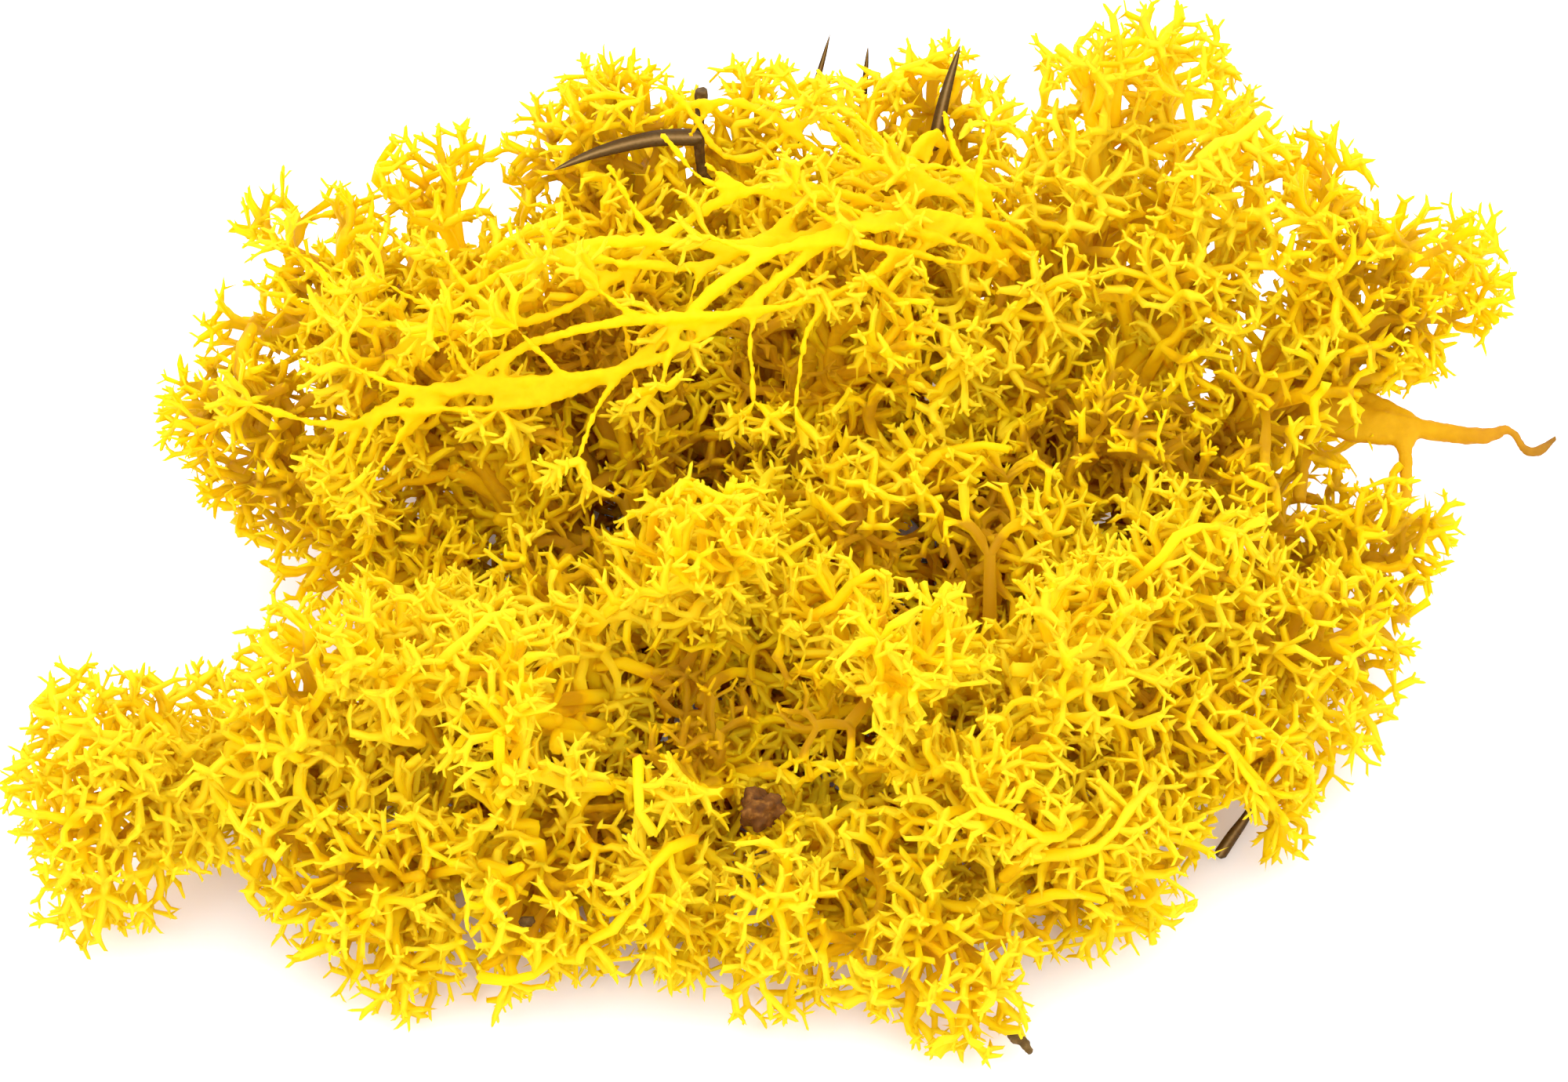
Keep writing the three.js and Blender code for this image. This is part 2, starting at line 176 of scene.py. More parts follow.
def lichenMaterial(name, look):
    material, sheet = newMaterial(name)
    coords = sheet.node("ShaderNodeTexCoord", out=3)
    age = sheet.node("ShaderNodeAttribute", {"attribute_name": "age"}, out=2)
    patches, specks, fluff = [
        sheet.noise(coords, lichenGrain[scale], lichenGrain["detail"])
        for scale in ("patchScale", "speckScale", "fluffScale")
    ]
    # age with its painted shade, plus patches and specks
    ageAndShade = age + (patches - 0.5) * lichenGrain["patchy"] + (specks - 0.5) * lichenGrain["speckled"]
    stops = [(place, look[colour]) for place, colour in zip(lichenGrain["places"], lichenGrain["colours"])]
    colour = sheet.node("ShaderNodeValToRGB", {"stops": stops}, {"Fac": ageAndShade.clamped()})
    bump = fluff.bump(lichenGrain["fluffy"], lichenGrain["fluffHeight"])
    surface = sheet.surface(colour, look["roughness"], look["gloss"], bump)
    glow = sheet.node("ShaderNodeBsdfTranslucent", {}, {"Color": look["through"]})
    finishMaterial(sheet, sheet.node("ShaderNodeMixShader", {}, {0: look["letThrough"], 1: surface, 2: glow}))
    return material


# what all dead matter shares
litterGrain = {"detail": 5, "bump": 0.7, "bumpHeight": 0.0002, "roughnessSpread": 0.3, "gloss": 0.05}


# dead matter: three browns by age, which on the needles is a painted highlight, and a grain that also
# roughens it
def grainMaterial(name, look):
    material, sheet = newMaterial(name)
    coords = sheet.node("ShaderNodeTexCoord", out=3)
    age = sheet.node("ShaderNodeAttribute", {"attribute_name": "age"}, out=2)
    grain = sheet.noise(coords, look["grain"], litterGrain["detail"])
    wornAndHighlight = (age + (grain - 0.5) * look["patchy"]).clamped()
    colour = sheet.node("ShaderNodeValToRGB", {"stops": look["stops"]}, {"Fac": wornAndHighlight})
    bump = grain.bump(litterGrain["bump"], litterGrain["bumpHeight"])
    rough = grain * litterGrain["roughnessSpread"] + look["roughness"]
    finishMaterial(sheet, sheet.surface(colour, rough, litterGrain["gloss"], bump))
    return material


mossMaterial = lichenMaterial("dyed_lichen", lichen)
print("materials made")

# name, middle of the head, reach of the head and number of main branches; then, where they aren't 0, 1 and 1,
# how much darker it is painted (partly a duller, older tone, partly painted shade; below 0 painted light),
# how far its fine branches spread and how far apart they stand
tuftTable = [
    ("heart", (0, 0, 7), (13, 12, 8), 4),
    ("front_left_foot", (-44, -44, 9), (9.5, 9, 8.5), 6, -0.05, 0.85),
    ("front_a", (-29, -42, 12), (11, 10, 11), 5, -0.1),
    ("front_b", (-13, -43, 10), (11, 9, 9.5), 5, -0.15, 0.95),
    ("front_c", (2, -43, 11), (11, 10, 10), 5, -0.2),
    ("front_d", (16, -49, 9), (11, 10, 9), 6, -0.2, 0.85),
    ("front_e", (31, -37, 11), (12, 10, 10), 5, -0.15, 1.05),
    ("front_f", (46, -25, 11), (11, 10, 10), 5, 0, 0.85),
    ("right_low", (56, -10, 14), (12, 10, 11), 5, -0.15, 0.9),
    ("right_tip", (65, 6, 14), (9, 10, 10), 6, 0.25, 0.88, 1.15),
    ("arm_left_tip", (-71, -32, 13), (11, 11, 10), 6, -0.3, 0.9),
    ("arm_left", (-57, -29, 18), (10, 12, 10), 5, -0.25, 0.95),
    ("shoulder_left", (-43, -26, 22), (12, 12, 11), 5, -0.4, 1.2),
    ("mound_a", (-27, -30, 25), (12, 12, 11), 6, -0.3),
    ("mound_b", (-8, -16, 30), (12, 12, 12), 6, 0, 0.92),
    ("mound_c", (12, -27, 28), (12, 12, 11), 6, -0.1),
    ("mound_d", (29, -24, 26), (12, 12, 11), 6, -0.25),
    ("mound_e", (42, -8, 22), (11, 11, 11), 5, -0.15),
    ("mound_f", (20, -36, 20), (11, 11, 10), 5, -0.15),
    ("mound_g", (-8, -34, 18), (11, 11, 9), 5, -0.25),
    ("mound_h", (8, 8, 25), (11, 10, 10), 5, 0.1),
    ("back_right", (35, 11, 25), (12, 11, 10), 6, 0.2),
    ("back_right_low", (52, 14, 17), (10, 10, 10), 5, 0.35, 1.2),
    ("side_left_low", (-48, 4, 17), (11, 11, 11), 5, 0.25, 0.8),
    ("side_left", (-61, 18, 20), (9, 11, 12), 6, 0.25, 0.82, 1.1),
    ("wing_left_tip", (-53, 34, 32), (11, 10, 11), 6, 0.2, 0.8, 1.2),
    ("wing_left", (-37, 33, 38), (12, 11, 11), 6, 0.1, 0.82, 1.15),
    ("top_a", (-19, 43, 39), (12, 10, 12), 6, 0.1, 0.84, 1.05),
    ("top_b", (-2, 45, 37), (11, 10, 11), 5, 0.15, 0.84, 1.1),
    ("top_c", (17, 46, 39), (12, 10, 11), 6, 0, 0.84, 1.05),
    ("wing_right", (39, 43, 44), (13, 12, 13), 7, -0.35, 0.9, 1.12),
    ("wing_right_low", (50, 31, 38), (13.5, 12.5, 12), 5, -0.2, 1.1, 1.1),
    ("arm_right", (64, 28, 35), (10, 10, 10), 5, 0, 0.95, 1.15),
    ("arm_right_tip", (73, 30, 32), (8, 10, 10), 6, 0.15, 0.88, 1.1),
    ("ridge_a", (27, 26, 36), (12, 11, 9), 5, -0.25),
    ("ridge_b", (5, 24, 36), (12, 10, 9), 5, 0.15),
    ("ridge_c", (-23, 23, 36), (12, 11, 9), 5, 0.2),
    ("ridge_d", (-40, 15, 30), (12, 11, 10), 6, 0.15),
    ("valley", (-22, 4, 16), (13, 10, 9), 4, 0.45),
    ("mat_left", (-31, -9, 11), (12, 9, 8), 3, 0.25),
    ("mat_back", (-5, 17, 14), (11, 10, 9), 3, 0.4),
    ("mat_right", (23, -5, 13), (10, 9, 9), 3, 0.1),
    ("mat_front", (3, -20, 10), (11, 9, 8), 3, 0.25),
    ("back_low_a", (-42, 42, 15), (13.5, 12.5, 14), 5),
    ("back_low_b", (-15, 51, 15), (12, 10, 13), 5),
    ("back_low_c", (12, 52, 15), (12, 10, 13), 5),
    ("back_low_d", (37, 44, 17), (12, 11, 14), 5),
]

# hollows that no main branch ends in
hollows = [
    (Vector((-26, 2, 33)), (20, 7, 9)),
    (Vector((-2, 14, 40)), (12, 6, 7)),
    (Vector((-8, -30, 33)), (9, 6, 8)),
]

# where the main branches fork and how the finer ones leave them
growth = {
    "rootShare": (0.6, 0.5, 0.35), "siteShare": 0.62, "forkTries": 3000, "forkStretch": (0.3, 1.05),
    "forkShell": (0.5, 0.74), "shellAtRoot": 0.7, "forkSpacing": 5.6, "forkMargin": 1.4, "rise": 0.3,
    "flare": 1.3, "onward": 0.75, "wander": (0.35, 0.55, 0.75), "shorter": (1, 0.85, 0.7),
    "uneven": (0.85, 1.15), "bend": 0.14, "ageStep": 0.12, "onTheWay": 0.6, "bridgeFrom": 0.8,
    "overWall": 1.8, "lowest": 0.6,
}

# the main branches: bundled along the axis of the tuft, then out to their forks, with twigs at their sides
limbs = {
    "sides": 6, "radii": (0.95, 0.7), "uneven": (0.85, 1.2), "ages": (0.1, 0.35), "bundleWidth": 0.26,
    "bundled": (0.9, 0.4), "outwards": (0.6, 1.2), "underRoot": 1.5, "footBack": 0.3,
    "footRange": (0.05, 0.9), "short": 4.2, "lowest": 1.2, "fewestRings": 3, "ringEvery": 3.6,
    "pointed": 0.7, "ahead": 0.03, "twigOdds": (0.5, 0.12), "twigDepths": (3, 5), "twigLean": 0.7,
    "twigFoot": 0.4, "twigRadius": 0.42,
}

# each later fork: its length, its radius, how far the ends keep apart, where its rings stand, how wide
# it opens, how far inside the surface it must end and how deep it still grows
levels = [
    {"name": "stems", "length": (2.8, 4.6), "radius": 0.6, "apart": 1.9, "stops": (0.33, 0.67, 1),
     "open": 0.9, "bare": 0.0, "bridges": 0.9, "age": 0.5, "inside": 2, "depth": 12},
    {"name": "twigs", "length": (2.1, 3.6), "radius": 0.47, "apart": 1.5, "stops": (0.5, 1), "open": 0.9,
     "bare": 0.05, "bridges": 0.9, "age": 0.68, "inside": 1, "depth": 7},
    {"name": "twiglets", "length": (1.2, 2.3), "radius": 0.32, "apart": 0.94, "stops": (1,), "open": 0.85,
     "bare": 0.06, "bridges": 0.7, "age": 0.84, "inside": 1, "depth": 5},
    {"name": "fingers", "length": (0.8, 1.8), "radius": 0.2, "apart": 0.53, "stops": (0.75,), "open": 0.75,
     "bare": 0.06, "bridges": 0.0, "age": 1.0, "inside": 0, "depth": 3, "plain": 1},
]

# where more main branches fill the clump, near its surface and deep inside
filling = {
    "tries": 60000, "depth": 4, "spacing": 4.5, "deep": 8, "deepSpacing": 5.8, "deepSides": 4, "margin": 0.4,
    "freeAlong": (0.3, 0.15),
}
pits = {
    "aTuft": 11, "inThin": 4, "thin": 16, "tries": 160, "radius": (1.3, 2.4), "from": -3, "to": 10,
    "narrow": 0.7, "closed": 0.8, "back": 0.2, "clearance": 2.4,
}

# a tunnel towards the camera starts narrow, and closes a little less than it carves
sight = {
    "narrow": 0.75, "narrowFor": 4, "closed": 0.7, "closedMore": 0.4, "frontPit": (-5, 14),
    "lightGap": (-60, 50), "laneStep": 0.9,
}

# wider pits that open towards the front, with their radii
frontPits = [
    ((-2.4, -38.8, 20), 2.8), ((14.3, -11.2, 26), 3.6), ((21.6, -14.1, 26), 3.2), ((6.8, -28.9, 24), 2.2),
    ((17.9, -30.8, 26), 2.3), ((8.7, -37.4, 22), 2.3), ((3.6, -36.1, 20), 1.9), ((-20.1, -26.2, 24), 2.3),
    ((29.1, 6.7, 28), 2.7), ((34.1, 3.4, 26), 2.2), ((-11, 6, 33), 3.0), ((-19, 3, 31), 3.0),
    ((-2, 10, 35), 2.6), ((-28, 1, 29), 2.6), ((3, 13, 37), 3.0),
]

# places outside the heads that fine branches fill too: middle and reach
fills = [
    ((-31, -46, 8), (9, 8, 7)), ((-1, -48, 7), (8, 6, 6)), ((-68, -29, 20), (8, 8, 7)),
    ((-68, -36, 8), (9, 7, 6)), ((40, -33, 9), (8, 8, 8)), ((18, -52, 6), (7, 7, 5)),
    ((48, 37, 46), (7, 7, 7)), ((62, -8, 10), (6.5, 7, 7)), ((21, -50, 5), (6, 5, 4.5)),
    ((50, -27, 5), (5, 6, 5)), ((15, 10, 37), (6, 7, 6.5)), ((4, -5, 26), (11, 9, 8)),
    ((-19, -15, 23), (9, 8, 8)), ((20, -2, 26), (12, 9, 8)), ((-29, -13, 22), (9, 8, 7)),
    ((55, 15, 27), (7, 6, 7)), ((54, 6, 15), (6, 6, 6)), ((-57, 29, 32), (5, 6, 7)),
    ((58, -19, 8), (5, 6, 6)), ((-72, -38, 6), (6, 6, 5)), ((-73, -26, 19), (5, 6, 6)),
    ((-40, -47, 5), (8, 6, 5)), ((70, 13, 14), (5, 5, 5)), ((-21, -3, 25), (8, 7, 6)),
    ((12, 12, 41), (6, 6, 6)), ((60, 20, 30), (8, 7, 7)), ((34, -28, 18), (7, 6, 6)),
    ((50, -11, 17), (7, 7, 7)), ((-70, -35, 12), (7, 6, 6)), ((-38, -33, 19), (9, 6, 6)),
    ((47, -33, 4), (6, 4, 4)), ((-25, -37, 17), (8, 6, 6)),
]

# wider hollows between the mounds, round which the main branches may end
moreHollows = [
    (Vector((-8, -29, 30)), (15, 8, 9)),
    (Vector((-11, 9, 31)), (16, 7, 8)),
]

# gaps through which the ground shows, as seen by the camera: right, up and radius
lightGaps = [
    (-33.8, 32.8, 1.4), (-35.6, 32.3, 1.3), (-29.4, 36.5, 1.0), (-31.8, 39.1, 0.9), (-33.6, 36.0, 0.9),
    (-43.0, 35.6, 0.8), (-40.7, 33.7, 0.8), (-47.9, 30.8, 0.9), (-56.2, 30.7, 1.0), (-56.1, 28.8, 1.0),
    (-53.7, 30.6, 0.8), (-56.7, 25.5, 0.9), (-40.4, 29.9, 0.8), (30.2, 47.0, 0.9), (26.8, 47.8, 0.8),
    (42.3, 49.2, 0.8), (36.8, 47.6, 1.0), (42.0, 45.7, 0.8), (43.3, 43.3, 0.8), (39.5, 42.2, 0.8),
    (25.5, 42.6, 1.0), (46.4, 34.8, 0.8), (52.5, 38.0, 0.8), (54.1, 33.6, 0.9), (45.6, 30.9, 0.8),
    (51.3, 27.8, 1.0), (67.8, 28.6, 0.8), (63.8, 34.9, 0.9), (52.3, 19.7, 1.0),
    (61.3, 8.4, 1.6), (63.6, 8.0, 1.6), (47.3, -29.8, 1.8),
]


# a tuft grows from its root up into its head; the places nearest to its site belong to it
class Tuft:
    def __init__(self, index, name, head, reach, branches, paintedShadeAndDullness=0, spread=1, air=1):
        self.index = index
        self.name = name
        self.head = Vector(head)
        self.reach = Vector(reach)
        self.branches = branches
        self.paintedShadeAndDullness = paintedShadeAndDullness
        self.spread = self.reach * spread
        self.air = air
        self.root = Vector(c * s for c, s in zip(head, growth["rootShare"]))
        self.site = self.root.lerp(self.head, growth["siteShare"])
        self.cage = Cage()


# the rings of corners that a piece grows from, with the age of each corner, which painted shade later lowers
# in the moss and which on the needles holds a painted highlight
class Cage:
    def __init__(self):
        self.places = []
        self.faces = []
        self.ages = []

    def add(self, place, age):
        self.places.append(place)
        self.ages.append(age)
        return len(self.places) - 1

    def middle(self, ring):
        total = Vector((0, 0, 0))
        for i in ring:
            total += self.places[i]
        return total / len(ring)

    def join(self, ring, following):
        count = len(ring)
        for k in range(count):
            after = (k + 1) % count
            self.faces.append((ring[k], ring[after], following[after], following[k]))

    # a ring round a new middle, its corners turned as those of the ring it grows from
    def ringAfter(self, ring, middle, way, radius, age):
        old = self.middle(ring)
        following = []
        for i in ring:
            spoke = self.places[i] - old
            spoke -= way * spoke.dot(way)
            spoke.normalize()
            following.append(self.add(middle + spoke * radius, age))
        self.join(ring, following)
        return following

    # the end of a branch, raised in the middle: six corners make three faces, four make four
    def fork(self, ring, way, rise, age):
        top = self.add(self.middle(ring) + way * rise, age)
        count = len(ring)
        if count < 5:
            return [(ring[k], ring[(k + 1) % count], top) for k in range(count)]
        return [(ring[k], ring[k + 1], ring[(k + 2) % count], top) for k in range(0, count - 1, 2)]

    def point(self, face, place, age):
        tip = self.add(place, age)
        for k in range(len(face)):
            self.faces.append((face[k], face[(k + 1) % len(face)], tip))


tufts = [Tuft(i, *row) for i, row in enumerate(tuftTable)]
siteTree = kdtree.KDTree(len(tufts))
for tuft in tufts:
    siteTree.insert(tuft.site, tuft.index)
siteTree.balance()


# how far a place lies beyond the tuft's own cell; below 0 inside it
def beyondCell(place, tuft):
    found = [index for _, index, _ in siteTree.find_n(place, 2)]
    other = tufts[found[1] if found[0] == tuft.index else found[0]].site
    apart = (tuft.site - other).length
    return ((place - tuft.site).length_squared - (place - other).length_squared) / (2 * apart)


def roomInCell(place, tuft):
    least = place.z
    for other in tufts:
        if other is not tuft:
            normal = (tuft.site - other.site).normalized()
            least = min(least, normal.dot(place - (tuft.site + other.site) / 2))
    return least


def inHollow(place):
    for middle, reach in hollows:
        off = place - middle
        if Vector(c / r for c, r in zip(off, reach)).length < 1:
            return True
    return False


def tryFork(tuft, draw):
    share = draw.within(*growth["forkStretch"])
    middle = tuft.root.lerp(tuft.head, share)
    out = draw.within(*growth["forkShell"])
    out *= growth["shellAtRoot"] + (1 - growth["shellAtRoot"]) * share
    return Vector(c * r for c, r in zip(draw.direction(), tuft.reach)) * out + middle, share


def throwForks(tuft):
    draw = drawFor("forks", tuft.index)
    forks = []
    for tries in range(growth["forkTries"]):
        if len(forks) == tuft.branches:
            break
        place, share = tryFork(tuft, draw)
        if any((place - fork[0]).length <= growth["forkSpacing"] for fork in forks) or inHollow(place):
            continue
        if roomInCell(place, tuft) > growth["forkMargin"]:
            forks.append((place, share, limbs["sides"]))
    return forks


# fills what the first forks leave open, so that no two forks crowd each other
def throwMoreForks(forks, crowd):
    draw = drawFor("moreForks")
    for tries in range(filling["tries"]):
        place = Vector(draw.within(a, a + cell * count) for a, count in zip(low, solidCells.shape))
        depth = depthAt(place)
        deep = depth > filling["deep"]
        tuft = tufts[siteTree.find(place)[1]]
        spacing = filling["deepSpacing" if deep else "spacing"] * tuft.air
        if depth < filling["depth"] or closedCells[cellOf(place)] or crowd.nearest(place, spacing):
            continue
        if any(closedCells[cellOf(place.lerp(tuft.root, back))] for back in filling["freeAlong"]):
            continue
        if beyondCell(place, tuft) < -filling["margin"]:
            axis = tuft.head - tuft.root
            share = (place - tuft.root).dot(axis) / axis.length_squared
            crowd.add(place)
            forks[tuft.name].append((place, share, filling["deepSides"] if deep else limbs["sides"]))


def curvePoint(points, share):
    reached = share * (len(points) - 1)
    i = min(int(reached), len(points) - 2)
    t = reached - i
    before = points[max(i - 1, 0)]
    a, b = points[i], points[i + 1]
    after = points[min(i + 2, len(points) - 1)]
    return (
        a * 2 + (b - before) * t + (before * 2 - a * 5 + b * 4 - after) * t * t
        + (a * 3 - before - b * 3 + after) * t * t * t
    ) / 2


def squareTo(way):
    start = Vector((0, 0, 1)) if abs(way.z) < 0.8 else Vector((1, 0, 0))
    across = (start - way * start.dot(way)).normalized()
    return across, way.cross(across)


def firstRing(cage, place, way, radius, sides, age, turned=0):
    across, other = squareTo(way)
    ring = []
    for k in range(sides):
        turn = turned + 2 * math.pi * k / sides
        ring.append(cage.add(place + (across * math.cos(turn) + other * math.sin(turn)) * radius, age))
    return ring


# a closed foot from which branches grow
def sprout(cage, tuft, place, way, radius, sides=4, age=0.5):
    ring = firstRing(cage, place, way, radius, sides, age)
    cage.point(ring[::-1], place - way * radius, age)
    return {"cage": cage, "tuft": tuft, "ring": ring, "way": way, "radius": radius}


# a main branch, from the foot of the bundle up the axis and out to its fork
def growLimb(tuft, fork, draw):
    place, share, sides = fork
    cage = tuft.cage
    axis = (tuft.head - tuft.root).normalized()
    wide = limbs["bundleWidth"] * (tuft.reach.x + tuft.reach.y) / 2
    off = draw.direction() * wide
    off -= axis * off.dot(axis)
    nearest, furthest = limbs["footRange"]
    foot = tuft.root.lerp(tuft.head, min(max(share - limbs["footBack"], nearest), furthest))
    way = (place - foot).normalized()
    points = [
        tuft.root - axis * limbs["underRoot"] + off,
        tuft.root.lerp(foot, 0.5) + off * limbs["bundled"][0] + way * limbs["outwards"][0],
        foot + off * limbs["bundled"][1] + way * limbs["outwards"][1],
        place - way * limbs["short"],
    ]
    for point in points:
        point.z = max(point.z, limbs["lowest"])
    length = sum((b - a).length for a, b in zip(points, points[1:]))
    count = max(limbs["fewestRings"], round(length / limbs["ringEvery"]))
    start, finish = limbs["radii"]
    firstAge, ripening = limbs["ages"]
    firstWay = (points[1] - points[0]).normalized()
    ring = firstRing(cage, points[0], firstWay, start, sides, 0, draw.within(0, 2 * math.pi))
    cage.point(ring[::-1], points[0] - firstWay * start * limbs["pointed"], 0)
    for k in range(1, count + 1):
        t = k / count
        middle = curvePoint(points, t)
        ahead = curvePoint(points, min(t + limbs["ahead"], 1))
        heading = (ahead - curvePoint(points, t - limbs["ahead"])).normalized()
        radius = (start + (finish - start) * t) * draw.within(*limbs["uneven"])
        ring = cage.ringAfter(ring, middle, heading, radius, firstAge + ripening * t)
        spot = cellOf(middle)
        shallow, deepest = limbs["twigDepths"]
        if k == count or depths[spot] > deepest or closedCells[spot]:
            continue
        if draw.next() < limbs["twigOdds"][int(depths[spot] > shallow)]:
            side = draw.direction()
            side = (side - heading * side.dot(heading)).normalized() + heading * limbs["twigLean"]
            side.normalize()
            twigFoot = middle + side * radius * limbs["twigFoot"]
            sideEnds.append(sprout(cage, tuft, twigFoot, side, limbs["twigRadius"]))
    return {"cage": cage, "tuft": tuft, "ring": ring, "way": heading, "radius": radius}


# the place lies as deep in the clump as its level grows, in no pit or lane, and near its own tuft
def suits(place, end, level):
    if place.z < growth["lowest"]:
        return False
    if not end["tuft"]:
        return True
    spot = cellOf(place)
    if closedCells[spot] or not level["inside"] <= depths[spot] <= level["depth"]:
        return False
    return beyondCell(place, end["tuft"]) < growth["overWall"]


# where a new branch goes: to a free place, or across to the end of one that is in its way
def chooseGoal(middle, outwards, end, level, draw, crowd):
    apart = level["apart"] * (end["tuft"].air if end["tuft"] else 1)
    for wander, shorter in zip(growth["wander"], growth["shorter"]):
        way = (outwards + draw.direction() * wander).normalized()
        goal = middle + way * draw.within(*level["length"]) * shorter
        if suits(goal, end, level) and not closedCells[cellOf(middle.lerp(goal, growth["onTheWay"]))]:
            other = crowd.nearest(goal, apart)
            if not other:
                crowd.add(goal)
                return goal, False
            far = (other - middle).length > level["length"][0] * growth["bridgeFrom"]
            if far and draw.next() < level["bridges"]:
                return other, True
    return None, False


# levels whose rings stop short of the end are pointed, and plain spikes where they lie deep
def growLevel(ends, level, draw, crowd):
    grown = []
    made, bridges = 0, 0
    pointed = level["stops"][-1] < 1
    base = level["age"] - growth["ageStep"]
    for end in ends:
        cage, way = end["cage"], end["way"]
        hub = cage.middle(end["ring"])
        for face in cage.fork(end["ring"], way, growth["rise"] * end["radius"], base):
            middle = cage.middle(face)
            sideways = middle - hub
            sideways -= way * sideways.dot(way)
            outwards = sideways.normalized() * level["open"] + way * growth["onward"]
            goal = None
            if draw.next() >= level["bare"]:
                goal, bridge = chooseGoal(middle, outwards, end, level, draw, crowd)
            if not goal:
                cage.faces.append(face)
                continue
            made += 1
            along = goal - middle
            heading = along.normalized()
            radius = level["radius"] * draw.within(*growth["uneven"])
            bend = draw.direction() * growth["bend"] * along.length
            following = face
            stops = () if pointed and depthAt(goal) > level["plain"] else level["stops"]
            for t in stops:
                place = middle + along * t + bend * math.sin(math.pi * t)
                wide = radius * (growth["flare"] if t == 1 else 1)
                following = cage.ringAfter(following, place, heading, wide, base + growth["ageStep"] * t)
            if pointed or bridge:
                cage.point(following, goal + heading * (radius if bridge else 0), level["age"])
                bridges += bridge
                continue
            grown.append({**end, "ring": following, "way": heading, "radius": radius})
    print("grew", made, level["name"] + ",", bridges, "of them bridges")
    return grown


# the clump in small cells: which are solid, which stay free, and how deep under the surface each lies
cell = 1.0
low = Vector((-95, -72, -2))
underground = 2
deepestCell = 16
solidCells = np.zeros((188, 142, 66), bool)
closedCells = np.zeros(solidCells.shape, bool)


def cellOf(place):
    spot = tuple(int((c - start) / cell) for c, start in zip(place, low))
    return tuple(min(max(i, 0), count - 1) for i, count in zip(spot, solidCells.shape))


def fillCells(cells, middle, reach, value=True):
    first = [max(int((m - r - start) / cell), 0) for m, r, start in zip(middle, reach, low)]
    last = [int((m + r - start) / cell) + 2 for m, r, start in zip(middle, reach, low)]
    block = cells[first[0]:last[0], first[1]:last[1], first[2]:last[2]]
    far = np.zeros(block.shape)
    for axis in range(3):
        along = (np.arange(block.shape[axis]) + first[axis] + 0.5) * cell + low[axis] - middle[axis]
        shape = [1, 1, 1]
        shape[axis] = -1
        far = far + ((along / reach[axis]) ** 2).reshape(shape)
    block[far < 1] = value


def depthOfCells():
    left = solidCells.copy()
    left[:, :, :underground] = True
    depth = np.zeros(left.shape, int)
    for step in range(deepestCell):
        depth += left
        padded = np.pad(left, 1)
        padded[:, :, 0] = True
        left = (
            left & padded[2:, 1:-1, 1:-1] & padded[:-2, 1:-1, 1:-1] & padded[1:-1, 2:, 1:-1]
            & padded[1:-1, :-2, 1:-1] & padded[1:-1, 1:-1, 2:] & padded[1:-1, 1:-1, :-2]
        )
    return depth * cell


def depthAt(place):
    return depths[cellOf(place)]


# how wide the cells are in which the ends look for neighbours
crowdSize = {"forks": 6, "branches": 2.2}


# places that keep apart from each other
class Crowd:
    def __init__(self, size):
        self.size = size
        self.cells = {}

    def key(self, place):
        return tuple(int(c // self.size) for c in place)

    def nearest(self, place, distance):
        found = None
        for spot in product(*((i - 1, i, i + 1) for i in self.key(place))):
            for other in self.cells.get(spot, ()):
                gap = (other - place).length
                if gap < distance:
                    distance, found = gap, other
        return found

    def add(self, place):
        self.cells.setdefault(self.key(place), []).append(place)


# the long stems and the litter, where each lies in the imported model
runs = {
    "long_stem_a": [(26, 25, 36), (22.5, 24, 41.5), (15, 21, 44.5), (4, 16, 45), (-7, 11.5, 43.5),
                    (-18, 8, 41), (-29, 5.5, 37.5), (-39, 4, 33.5), (-46, 3, 29)],
    "long_stem_b": [(25, 29, 36), (21, 28.5, 42.5), (12, 26, 46), (1, 22.5, 47), (-11, 19, 45.5),
                    (-23, 16, 43), (-35, 14, 39.5), (-46, 13, 35.5)],
    "long_stem_c": [(17, 42, 35), (15, 37, 42), (7, 33.5, 46), (-5, 34.5, 47.5), (-16, 37, 48.5)],
    "dead_stem": [(46, 20, 19.5), (56, 20.5, 20.5), (64, 18, 20.5), (70, 17, 20), (76, 15.5, 20),
                  (79, 15.8, 19.6), (82, 14.9, 19.2), (84, 15.6, 19.8)],
    "needle_a": [(-24.8, 32.5, 43.9), (-20, 34.9, 44.4), (-14, 37.1, 44.4), (-8.8, 38.1, 43.7)],
    "needle_b": [(16.2, 40, 40), (17.4, 42, 46), (19, 43.8, 51.8)],
    "needle_c": [(0.5, 44, 35.5), (3.2, 45.2, 44), (5, 46.2, 51.4)],
    "needle_d": [(8.6, 49.6, 36.8), (8.9, 50.2, 41.3), (9.2, 50.8, 45.8)],
    "needle_e": [(45.6, -28.4, 1.4), (47.2, -25.8, 1.8), (49, -22.8, 2)],
    "twig_stub": [(-9, 40.1, 37.1), (-9.2, 40.7, 41.5), (-9, 41.4, 45.9), (-8.9, 41.5, 47.5)],
    "bark_crumb_a": [(22.8, -53.4, 3), (24, -54.6, 2.8), (25, -56, 2.5)],
    "bark_crumb_b": [(-28.8, -42.2, 6.3), (-27.8, -41, 6.7)],
    "bark_crumb_c": [(-27, -45.4, 10.3), (-25.4, -45, 10.6)],
}
runs = {name: [Vector(point) for point in points] for name, points in runs.items()}

